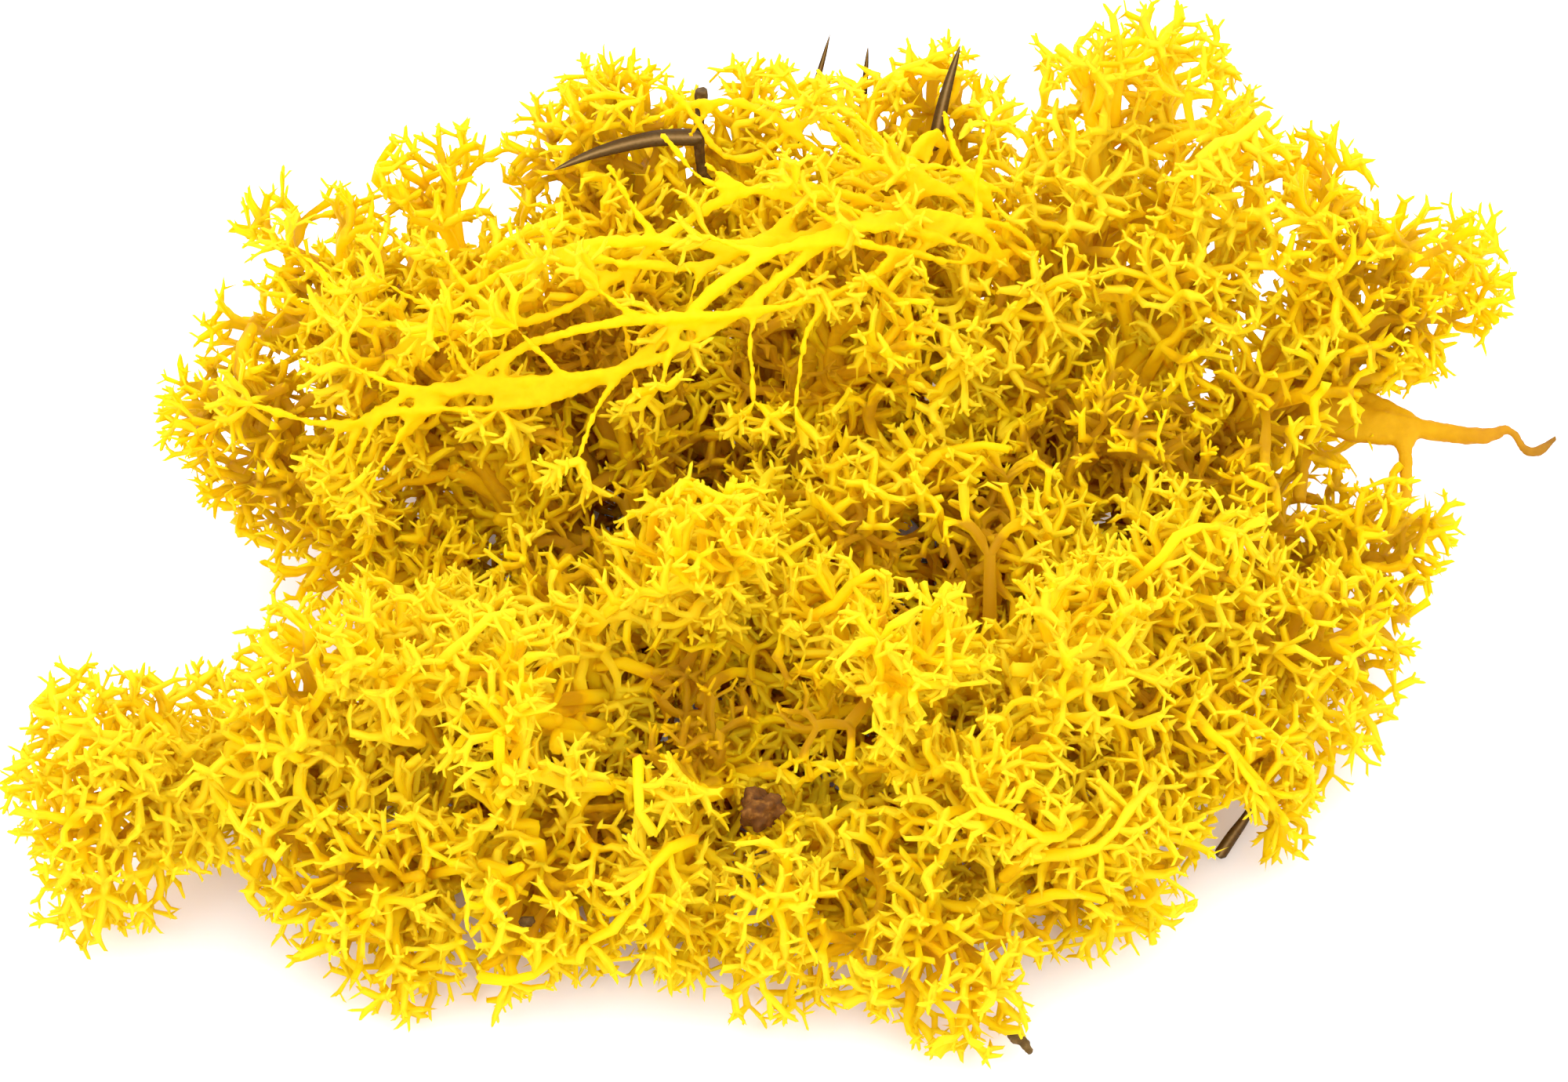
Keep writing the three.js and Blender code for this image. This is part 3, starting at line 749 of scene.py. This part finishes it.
# each tuft fills the cells from its root, where it is narrower, to its head, and those towards its neighbours
atRoot = {"spread": 0.75, "steps": 5}
between = {"farthest": 27, "wide": 0.82, "lower": 1.5}
for tuft in tufts:
    for step in range(atRoot["steps"] + 1):
        share = step / atRoot["steps"]
        wide = atRoot["spread"] + (1 - atRoot["spread"]) * share
        fillCells(solidCells, tuft.root.lerp(tuft.head, share), tuft.spread * wide)
for tuft in tufts:
    for other in tufts[:tuft.index]:
        if (tuft.head - other.head).length < between["farthest"]:
            middle = (tuft.head + other.head) / 2 - Vector((0, 0, between["lower"]))
            fillCells(solidCells, middle, (tuft.spread + other.spread) / 2 * between["wide"])
for middle, reach in fills:
    fillCells(solidCells, Vector(middle), reach)
for middle, reach in hollows + moreHollows:
    fillCells(solidCells, middle, reach, False)


# frees a tunnel along the line of sight through a place
def clearSight(place, radius, nearest, farthest, carve=True):
    way = (eye - place).normalized()
    for step in range(nearest, farthest):
        wide = radius * (sight["narrow"] if step < nearest + sight["narrowFor"] else 1)
        if carve:
            fillCells(solidCells, place + way * step, (wide, wide, wide), False)
        wide = wide * sight["closed"] + sight["closedMore"]
        fillCells(closedCells, place + way * step, (wide, wide, wide))


for place, radius in frontPits:
    clearSight(Vector(place), radius, *sight["frontPit"])
for right, up, radius in lightGaps:
    clearSight(view["target"] + Vector((right, 0, 0)) + upInView * up, radius, *sight["lightGap"])

# the branches leave a lane free towards the light above each long stem and each scrap of litter
lanes = {
    "needle_a": (3, 22), "needle_b": (2.8, 22), "needle_e": (2, 8), "twig_stub": (2.8, 22),
    "dead_stem": (1.8, 4), "long_stem_a": (1.1, 3), "long_stem_b": (1.1, 3), "long_stem_c": (1.1, 3),
    "bark_crumb_b": (1.6, 6), "bark_crumb_c": (1.6, 6),
}
for name, (radius, lane) in lanes.items():
    points = runs[name]
    for a, b in zip(points, points[1:]):
        count = max(1, round((b - a).length / sight["laneStep"]))
        for k in range(count + 1):
            clearSight(a.lerp(b, k / count), radius, 0, lane, False)

allForks = {tuft.name: throwForks(tuft) for tuft in tufts}
forkCrowd = Crowd(crowdSize["forks"])
for forks in allForks.values():
    for fork in forks:
        forkCrowd.add(fork[0])
depths = depthOfCells()
throwMoreForks(allForks, forkCrowd)

# open pits between the main branches, round which the finer ones make a net
for tuft in tufts:
    draw = drawFor("pits", tuft.index)
    made = 0
    for tries in range(pits["tries"]):
        if made == pits["inThin" if tuft.air > 1 or tuft.head.z < pits["thin"] else "aTuft"]:
            break
        place, share = tryFork(tuft, draw)
        if forkCrowd.nearest(place, pits["clearance"]):
            continue
        way = (place - tuft.root.lerp(tuft.head, share - pits["back"])).normalized()
        radius = draw.within(*pits["radius"])
        for step in range(pits["from"], pits["to"]):
            wide = radius * (pits["narrow"] if step < 0 else 1)
            closed = wide * pits["closed"]
            fillCells(solidCells, place + way * step, (wide, wide, wide), False)
            fillCells(closedCells, place + way * step, (closed, closed, closed))
        made += 1
depths = depthOfCells()

ends, sideEnds = [], []
for tuft in tufts:
    limbDraw = drawFor("limbs", tuft.index)
    for fork in allForks[tuft.name]:
        ends.append(growLimb(tuft, fork, limbDraw))
print("grew", len(ends), "limbs and", len(sideEnds), "side branches")

# long bare stems that run along just under the surface, with a few twigs at their sides
runners = {
    "aTuft": 3, "tries": 60, "start": (3, 5), "lowest": (6, 1.5), "steps": (4, 8), "fewest": 4, "stride": 2.7,
    "wander": 0.55, "choices": 7, "depth": 2.5, "wrong": 20, "furthest": 1.8, "overWall": 5, "sides": 6,
    "radius": (0.66, 0.5), "uneven": (0.75, 1.25), "ages": (0.35, 0.4, 0.05), "clear": (1, 5),
    "clearRadius": 1.1, "twigOdds": 0.85, "twigLean": (0.8, 0.3), "twigFoot": 0.3, "twigRadius": 0.42,
}


def growRunner(tuft, draw):
    shallow, deepest = runners["start"]
    atStart, onTheWay = runners["lowest"]
    for tries in range(runners["tries"]):
        place = tuft.head + Vector(c * r for c, r in zip(draw.direction(), tuft.reach))
        if shallow <= depthAt(place) <= deepest and place.z > atStart:
            break
    else:
        return []
    way = (place - tuft.root).cross(draw.direction()).normalized()
    path = [(place, way)]
    for step in range(round(draw.within(*runners["steps"]))):
        best = None
        for choice in range(runners["choices"]):
            tried = (way + draw.direction() * runners["wander"]).normalized()
            goal = place + tried * runners["stride"]
            spot = cellOf(goal)
            wrong = abs(depths[spot] - runners["depth"])
            wrong += runners["wrong"] * (int(closedCells[spot]) + (goal.z < onTheWay))
            if not best or wrong < best[0]:
                best = (wrong, goal, tried)
        wrong, place, way = best
        if wrong > runners["furthest"] or beyondCell(place, tuft) > runners["overWall"]:
            break
        path.append((place, way))
    if len(path) < runners["fewest"]:
        return []
    start, finish = runners["radius"]
    footAge, firstAge, ripening = runners["ages"]
    end = sprout(tuft.cage, tuft, *path[0], start, runners["sides"], footAge)
    made = []
    for step, (place, way) in enumerate(path[1:], 1):
        radius = start + (finish - start) * step / len(path)
        wide = radius * draw.within(*runners["uneven"])
        end["ring"] = tuft.cage.ringAfter(end["ring"], place, way, wide, firstAge + ripening * step)
        end["way"], end["radius"] = way, radius
        outwards = (place - tuft.root).normalized()
        for out in range(*runners["clear"]):
            fillCells(closedCells, place + outwards * out, (runners["clearRadius"],) * 3)
        if draw.next() < runners["twigOdds"]:
            across = way.cross(outwards) * (1 if draw.next() < 0.5 else -1)
            side = (across + way * runners["twigLean"][0] + outwards * runners["twigLean"][1]).normalized()
            foot = place + side * runners["twigFoot"]
            made.append(sprout(tuft.cage, tuft, foot, side, runners["twigRadius"]))
    return made + [end]


runnerDraw = drawFor("runners")
runnerEnds = []
for tuft in tufts:
    for count in range(runners["aTuft"]):
        runnerEnds += growRunner(tuft, runnerDraw)
print("grew", len(runnerEnds), "ends of runners")


def tangentOf(points, t, ahead=0.02):
    return (curvePoint(points, min(t + ahead, 1)) - curvePoint(points, max(t - ahead, 0))).normalized()


def pickOnly(*pieces):
    bpy.ops.object.select_all(action="DESELECT")
    for piece in pieces:
        piece.select_set(True)
    bpy.context.view_layer.objects.active = pieces[0]


# a rod along a curve through some points, as thick as the radii say
def makeRod(points, radii, steps=24):
    bpy.ops.object.select_all(action="DESELECT")
    bpy.ops.curve.primitive_nurbs_path_add()
    rod = bpy.context.active_object
    rod.data.splines.clear()
    spline = rod.data.splines.new("POLY")
    spline.points.add(steps)
    for k, point in enumerate(spline.points):
        point.co = (*curvePoint(points, k / steps) * mm, 1)
        reached = k / steps * (len(radii) - 1)
        i = min(int(reached), len(radii) - 2)
        point.radius = radii[i] + (radii[i + 1] - radii[i]) * (reached - i)
    rod.data.bevel_depth = mm
    rod.data.bevel_resolution = 2
    rod.data.use_fill_caps = True
    bpy.ops.object.convert(target="MESH")
    return bpy.context.active_object


def applyModifier(piece, kind, **settings):
    pickOnly(piece)
    bpy.ops.object.modifier_add(type=kind)
    modifier = piece.modifiers[-1]
    for name, value in settings.items():
        setattr(modifier, name, value)
    bpy.ops.object.modifier_apply(modifier=modifier.name)


def remesh(piece, voxel):
    applyModifier(piece, "REMESH", mode="VOXEL", voxel_size=voxel * mm)


# rods melted into one skin, with webs where they meet
def fuseRods(name, rods, voxel):
    pickOnly(*rods)
    bpy.ops.object.join()
    piece = bpy.context.active_object
    piece.name = name
    remesh(piece, voxel)
    applyModifier(piece, "SMOOTH", factor=0.6, iterations=5)
    return piece


lumps = bpy.data.textures.new("lumps", "CLOUDS")
lumps.noise_scale = 0.0012


def roughen(piece, strength):
    applyModifier(piece, "DISPLACE", texture=lumps, texture_coords="LOCAL", strength=strength, mid_level=0.5)


def setAges(piece, ages):
    made = piece.data.attributes.new("age", "FLOAT", "POINT")
    made.data.foreach_set("value", ages)


# the long stems: strands that part and meet again, and side branches that lean the way the stem goes
longStems = {
    "names": ("long_stem_a", "long_stem_b", "long_stem_c"), "strands": (4, 4, 2), "points": 15, "steps": 60,
    "waves": (1.5, 2.8), "phase": (0, 0.2), "sway": 3.1, "swayAtRoot": (0.5, 2.5), "depth": 0.6,
    "radii": (0.4, 0.48, 0.55, 0.6, 0.58, 0.48, 0.38), "uneven": (0.75, 1.2), "voxel": 0.38, "lumps": 0.0008,
    "ages": (0.28, 0.2), "sides": (20, 20, 5), "sideFrom": 0.08, "sideSpan": 0.88, "sideJitter": (0, 0.8),
    "sideRadii": (0.5, 0.36), "sideLength": ((5, 12), (5, 12), (2, 5)), "lean": (0.35, 0.9),
    "lift": 0.35, "dip": 0.4, "curl": 0.25, "curlWander": 0.6,
    "sprayBack": 0.4, "strandSpray": 0.9, "sideSpray": 0.95, "sprayAge": 0.7,
}


def sprayAt(cage, points, radius):
    way = tangentOf(points, 1)
    foot = points[-1] - way * longStems["sprayBack"]
    return sprout(cage, None, foot, way, radius, age=longStems["sprayAge"])


def growLongStem(name, count, sides, sideLength, draw):
    points = runs[name]
    profile = longStems["radii"]
    least, growing = longStems["swayAtRoot"]
    rods, strands, sprays = [], [], []
    cage = Cage()
    for strand in range(count):
        wave = draw.within(*longStems["waves"])
        phase = strand / count + draw.within(*longStems["phase"])
        places, radii = [], []
        for k in range(longStems["points"]):
            t = k / (longStems["points"] - 1)
            across = tangentOf(points, t).cross(toCamera).normalized()
            turn = 2 * math.pi * (wave * t + phase)
            sway = longStems["sway"] * min(1, least + growing * t)
            rise = toCamera * longStems["depth"] * math.cos(turn)
            places.append(curvePoint(points, t) + across * sway * math.sin(turn) + rise)
            radii.append(profile[round(t * (len(profile) - 1))] * draw.within(*longStems["uneven"]))
        rods.append(makeRod(places, radii, longStems["steps"]))
        strands.append(places)
        sprays.append(sprayAt(cage, places, radii[-1] * longStems["strandSpray"]))
    for k in range(sides):
        jitter = draw.within(*longStems["sideJitter"])
        t = longStems["sideFrom"] + longStems["sideSpan"] * (k + jitter) / sides
        places = strands[int(draw.within(0, count - 0.01))]
        way = tangentOf(places, t)
        across = way.cross(toCamera).normalized() * (1 if k % 2 else -1)
        lean = draw.within(*longStems["lean"])
        heading = way * math.cos(lean) + across * math.sin(lean)
        heading += toCamera * longStems["lift"] * (draw.next() - longStems["dip"])
        length = draw.within(*sideLength)
        foot = curvePoint(places, t)
        curl = (across + draw.direction() * longStems["curlWander"]) * longStems["curl"] * length
        side = [foot, foot + heading * length * 0.5, foot + heading * length + curl]
        rods.append(makeRod(side, longStems["sideRadii"]))
        sprays.append(sprayAt(cage, side, longStems["sideRadii"][1] * longStems["sideSpray"]))
    skin = fuseRods(name + "_skin", rods, longStems["voxel"])
    roughen(skin, longStems["lumps"])
    # painted light and shade: the side of the skin facing the camera is painted lighter, the side turned away
    # darker
    middling, paintedLightFacingCamera = longStems["ages"]
    setAges(skin, [middling + paintedLightFacingCamera * v.normal.dot(toCamera) for v in skin.data.vertices])
    return skin, cage, sprays


longStemParts = {}
sprayEnds = []
for i, name in enumerate(longStems["names"]):
    sizes = [longStems[key][i] for key in ("strands", "sides", "sideLength")]
    skin, cage, sprays = growLongStem(name, *sizes, drawFor("longStems", i))
    longStemParts[name] = (skin, cage)
    sprayEnds += sprays
print("grew", len(sprayEnds), "sprays on the long stems")

levelDraw = drawFor("levels")
for level in levels:
    if level["name"] == "twigs":
        ends += sideEnds + runnerEnds + sprayEnds
    ends.sort(key=lambda end: levelDraw.next())
    ends = growLevel(ends, level, levelDraw, Crowd(crowdSize["branches"]))


def pieceOfCage(name, cage):
    mesh = bpy.data.meshes.new(name)
    mesh.from_pydata([place * mm for place in cage.places], [], cage.faces)
    piece = bpy.data.objects.new(name, mesh)
    bpy.context.scene.collection.objects.link(piece)
    setAges(piece, cage.ages)
    return piece


def finishPiece(piece, name, material, node=None):
    pickOnly(piece)
    bpy.ops.object.shade_smooth()
    piece.name = name
    piece.data.materials.clear()
    piece.data.materials.append(material)
    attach(piece, "root")
    if node:
        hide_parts(node)
    return sum(len(face.vertices) - 2 for face in piece.data.polygons)


# painted shade: lichen that lies deep is painted duller and more orange, and so is that of some hollows where
# shade falls; each hollow has its middle, its reach and how much painted shade it adds, below 0 painted light
paintedDepthShade = {"from": 1.5, "each": 0.13, "edge": 2}
paintedShades = [
    (Vector((-13, 12, 33)), (21, 10, 10), 0.9), (Vector((39, 12, 27)), (18, 10, 10), 0.35),
    (Vector((-9, -28, 24)), (17, 9, 10), 1.0), (Vector((18, -11, 25)), (8, 7, 8), 0.6),
    (Vector((60, 14, 21)), (8, 8, 8), 0.3), (Vector((50, 5, 19)), (8, 8, 7), 0.25),
    (Vector((13, -18, 27)), (6, 6, 6), 0.2), (Vector((-48, -8, 18)), (8, 7, 7), 0.2),
    (Vector((-10, -20, 29)), (7, 5, 6), -0.35), (Vector((-21, -4, 26)), (9, 6, 6), -0.35),
    (Vector((16, -1, 27)), (8, 6, 6), -0.3), (Vector((34, 30, 37)), (8, 8, 8), -0.2),
]
# painted shade round each front pit, a little behind it as the camera sees it
pitPaintedShade = {"under": 2, "wide": 1.7, "amount": 0.7}
for place, radius in frontPits:
    middle = Vector(place) - toCamera * pitPaintedShade["under"]
    paintedShades.append((middle, (radius * pitPaintedShade["wide"],) * 3, pitPaintedShade["amount"]))


# how much painted shade falls on a place; a sum below 0 is painted light
def paintedShadeAt(place):
    total = 0
    for middle, reach, amount in paintedShades:
        near = 1 - Vector(c / r for c, r in zip(place - middle, reach)).length_squared
        total += amount * min(max(near * paintedDepthShade["edge"], 0), 1)
    return total


made = 0
for tuft in tufts:
    cage = tuft.cage
    for i, place in enumerate(cage.places):
        # painted shade: the deeper a corner lies, the lower its age, and lower still by its tuft's painted
        # shade and the painted shade of the hollows
        buriedShade = paintedDepthShade["each"] * max(0, depthAt(place) - paintedDepthShade["from"])
        cage.ages[i] -= buriedShade + tuft.paintedShadeAndDullness + paintedShadeAt(place)
    piece = pieceOfCage("moss_" + tuft.name, cage)
    made += finishPiece(piece, "moss_" + tuft.name, mossMaterial, tuft.name)
print("tufts dressed,", made, "triangles")

# what stands higher than the crown of the clump is pressed down towards it
crown = {"top": 54, "levelFrom": -25, "slope": 0.45, "press": 0.6}
made = 0
for name, (skin, cage) in longStemParts.items():
    sprays = pieceOfCage(name + "_sprays", cage)
    pickOnly(skin, sprays)
    bpy.ops.object.join()
    for vertex in skin.data.vertices:
        top = crown["top"] + crown["slope"] * min(0, vertex.co.x / mm - crown["levelFrom"])
        vertex.co.z -= crown["press"] * max(0, vertex.co.z - top * mm)
    made += finishPiece(skin, name + "_grown", mossMaterial, name)
print("long stems dressed,", made, "triangles")

# the dead stem: a webbed fork whose far end is brown and wavy; each rod with its radii
deadStem = {
    "rods": [
        ([(46, 20, 19.5), (56, 20.5, 20.5), (64, 18, 20.5), (70, 17, 20), (75.5, 15.8, 20.2),
          (78.5, 16.3, 20.7), (80.3, 14.6, 19.2), (82, 14.6, 19.4), (83.6, 15.8, 20.2)],
         (1.0, 1.5, 1.5, 1.15, 1.0, 0.5, 0.55, 0.6, 0.4)),
        ([(66.5, 18, 20.4), (67.2, 13.5, 19), (67, 8.5, 17)], (1.3, 0.8, 0.75)),
        ([(59, 19.6, 20.3), (56.5, 14.5, 19), (55.4, 8, 18)], (1.5, 0.9, 0.8)),
        ([(56, 18.4, 20.2), (62, 16.6, 20), (68.5, 15.8, 19.8)], (1.0, 1.1, 0.9)),
        ([(68, 18.2, 20.6), (60, 22.5, 21.5), (54, 24.5, 22)], (0.8, 1.1, 0.6)),
    ],
    "steps": 40, "voxel": 0.32, "lumps": 0.0004, "brownFrom": 70, "brownTo": 84,
}
deadLook = {
    "old": (0.62, 0.29, 0.001), "deep": (0.50, 0.21, 0.001), "middle": (0.40, 0.15, 0.002),
    "tips": (0.15, 0.06, 0.005), "through": (0.8, 0.38, 0.001), "letThrough": 0.25, "roughness": 0.7,
    "gloss": 0.05,
}
rods = []
for points, radii in deadStem["rods"]:
    rods.append(makeRod([Vector(point) for point in points], radii, deadStem["steps"]))
stem = fuseRods("dead_stem_skin", rods, deadStem["voxel"])
roughen(stem, deadStem["lumps"])
wide = deadStem["brownTo"] - deadStem["brownFrom"]
setAges(stem, [min(max((v.co.x / mm - deadStem["brownFrom"]) / wide, 0), 1) for v in stem.data.vertices])
finishPiece(stem, "dead_stem_grown", lichenMaterial("dead_lichen", deadLook), "dead_stem")
print("dead stem dressed")

# these three lean on the branches that their lanes have kept off them
leaning = {"needleBack": 1.1, "needleTip": (50.6, -19.7, 3.5), "stubFoot": (-8.4, 40.3, 35.2)}
runs["needle_a"] = [point - toCamera * leaning["needleBack"] for point in runs["needle_a"]]
runs["needle_a"].reverse()  # its point is at its left end
runs["needle_e"].append(Vector(leaning["needleTip"]))
runs["twig_stub"].insert(0, Vector(leaning["stubFoot"]))

# conifer needles: flat, with a groove along the top whose line is a paler painted highlight, blunt at the
# base and sharp at the tip
needles = {
    "names": ("needle_a", "needle_b", "needle_c", "needle_d", "needle_e"), "rings": 16, "corners": 10,
    "widths": (0.95, 0.75, 0.5, 0.42, 0.7), "thick": 0.55, "groove": 0.6, "ends": 0.02,
    "base": 0.35, "swell": 0.12, "taper": 2.6, "tip": 0.03, "paintedHighlightAge": 1.0, "sideAge": 0.15, "endAge": 0.2,
    "stops": [(0.0, (0.020, 0.008, 0.001)), (0.5, (0.055, 0.026, 0.004)), (1.0, (0.20, 0.11, 0.03))],
    "grain": 2600, "patchy": 0.3, "roughness": 0.4,
}


def growNeedle(points, wide):
    cage = Cage()
    ring = None
    for k in range(needles["rings"]):
        t = needles["ends"] + (1 - 2 * needles["ends"]) * k / (needles["rings"] - 1)
        way = tangentOf(points, t)
        across = way.cross(toCamera).normalized()
        up = across.cross(way)
        share = min(1, needles["base"] + t / needles["swell"]) * (1 - t ** needles["taper"]) + needles["tip"]
        following = []
        for corner in range(needles["corners"]):
            turn = 2 * math.pi * corner / needles["corners"]
            top = corner == 0
            side = across * math.sin(turn) * wide * share
            rise = up * math.cos(turn) * wide * needles["thick"] * share * (needles["groove"] if top else 1)
            # the corner facing the camera gets a painted highlight
            age = needles["paintedHighlightAge" if top else "sideAge"]
            following.append(cage.add(curvePoint(points, t) + side + rise, age))
        if ring:
            cage.join(ring, following)
        else:
            cage.point(following[::-1], curvePoint(points, 0), needles["endAge"])
        ring = following
    cage.point(ring, curvePoint(points, 1), needles["endAge"])
    return cage


needleMaterial = grainMaterial("dry_needle", needles)
for name, wide in zip(needles["names"], needles["widths"]):
    piece = pieceOfCage(name + "_grown", growNeedle(runs[name], wide))
    finishPiece(piece, name + "_grown", needleMaterial, name)
print("needles dressed")

# the stub of a twig, knobbly and broken off, and three crumbs of bark
bark = {
    "stops": [(0.0, (0.014, 0.006, 0.001)), (0.45, (0.06, 0.03, 0.006)), (1.0, (0.18, 0.10, 0.03))],
    "grain": 1500, "patchy": 1.2, "roughness": 0.6,
}
stub = {
    "names": ("twig_stub",), "radii": (0.7, 0.55, 0.62, 0.55, 0.8, 0.72), "steps": 30, "voxel": 0.16,
    "rough": 0.00035, "age": 0.35,
}
crumbs = {
    "names": ("bark_crumb_a", "bark_crumb_b", "bark_crumb_c"), "radii": (0.3, 0.75, 0.6, 0.35), "steps": 12,
    "voxel": 0.14, "rough": 0.0007, "age": 0.4,
}
barkMaterial = grainMaterial("dry_bark", bark)
for shape in (stub, crumbs):
    for name in shape["names"]:
        piece = makeRod(runs[name], shape["radii"], shape["steps"])
        remesh(piece, shape["voxel"])
        roughen(piece, shape["rough"])
        setAges(piece, [shape["age"]] * len(piece.data.vertices))
        finishPiece(piece, name + "_grown", barkMaterial, name)

# a brown crinkled knot at the bottom of the round pit
knot = {
    "middle": Vector((-2.4, -36.2, 17.4)), "size": Vector((4.6, 3.8, 3.4)), "rough": 0.0026, "age": 0.4,
    "stops": [(0.0, (0.012, 0.003, 0.001)), (0.5, (0.08, 0.022, 0.002)), (1.0, (0.26, 0.085, 0.01))],
    "grain": 1100, "patchy": 1.5, "roughness": 0.6,
}
bpy.ops.object.select_all(action="DESELECT")
bpy.ops.mesh.primitive_ico_sphere_add(subdivisions=4, radius=0.5, location=knot["middle"] * mm)
ball = bpy.context.active_object
bpy.ops.transform.resize(value=knot["size"] * mm)
bpy.ops.object.transform_apply(location=True, rotation=True, scale=True)
roughen(ball, knot["rough"])
setAges(ball, [knot["age"]] * len(ball.data.vertices))
finishPiece(ball, "dead_knot", grainMaterial("dead_knot", knot))
print("litter dressed")

# a plain pale floor under a bright even sky, and one soft lamp above and behind
studio = {
    "floorSize": 4, "floorColour": (0.93, 0.915, 0.92), "floorRoughness": 0.9, "skyStrength": 2.45,
    "lampPlace": (-0.08, 0.28, 0.62), "lampTarget": Vector((0, 0, 0.02)), "lampSize": 0.45, "lampEnergy": 2.4,
    "gamma": 1.35, "bounces": 10,
}
bpy.ops.object.select_all(action="DESELECT")
bpy.ops.mesh.primitive_plane_add(size=studio["floorSize"], location=(0, 0, 0))
floor = bpy.context.active_object
floor.name = "floor"
floorMaterial, sheet = newMaterial("white_paper")
floorLook = {"Base Color": studio["floorColour"], "Roughness": studio["floorRoughness"]}
finishMaterial(sheet, sheet.node("ShaderNodeBsdfPrincipled", {}, floorLook))
floor.data.materials.append(floorMaterial)

world = bpy.context.scene.world or bpy.data.worlds.new("studio")
bpy.context.scene.world = world
world.use_nodes = True
sky = world.node_tree.nodes["Background"]
sky.inputs["Color"].default_value = (1, 1, 1, 1)
sky.inputs["Strength"].default_value = studio["skyStrength"]

bpy.ops.object.light_add(type="AREA", location=studio["lampPlace"])
lamp = bpy.context.active_object
lamp.data.size = studio["lampSize"]
lamp.data.energy = studio["lampEnergy"]
lamp.rotation_euler = (studio["lampTarget"] - lamp.location).to_track_quat("-Z", "Y").to_euler()

bpy.ops.object.camera_add(location=eye * mm, rotation=(math.pi / 2 - tilt, 0, 0))
camera = bpy.context.active_object
camera.data.lens = view["lens"]
camera.data.sensor_width = view["sensor"]
bpy.context.scene.camera = camera
bpy.context.scene.view_settings.view_transform = "Standard"
bpy.context.scene.view_settings.gamma = studio["gamma"]
bpy.context.scene.cycles.diffuse_bounces = studio["bounces"]
bpy.context.scene.cycles.transmission_bounces = studio["bounces"]
print("stage set")
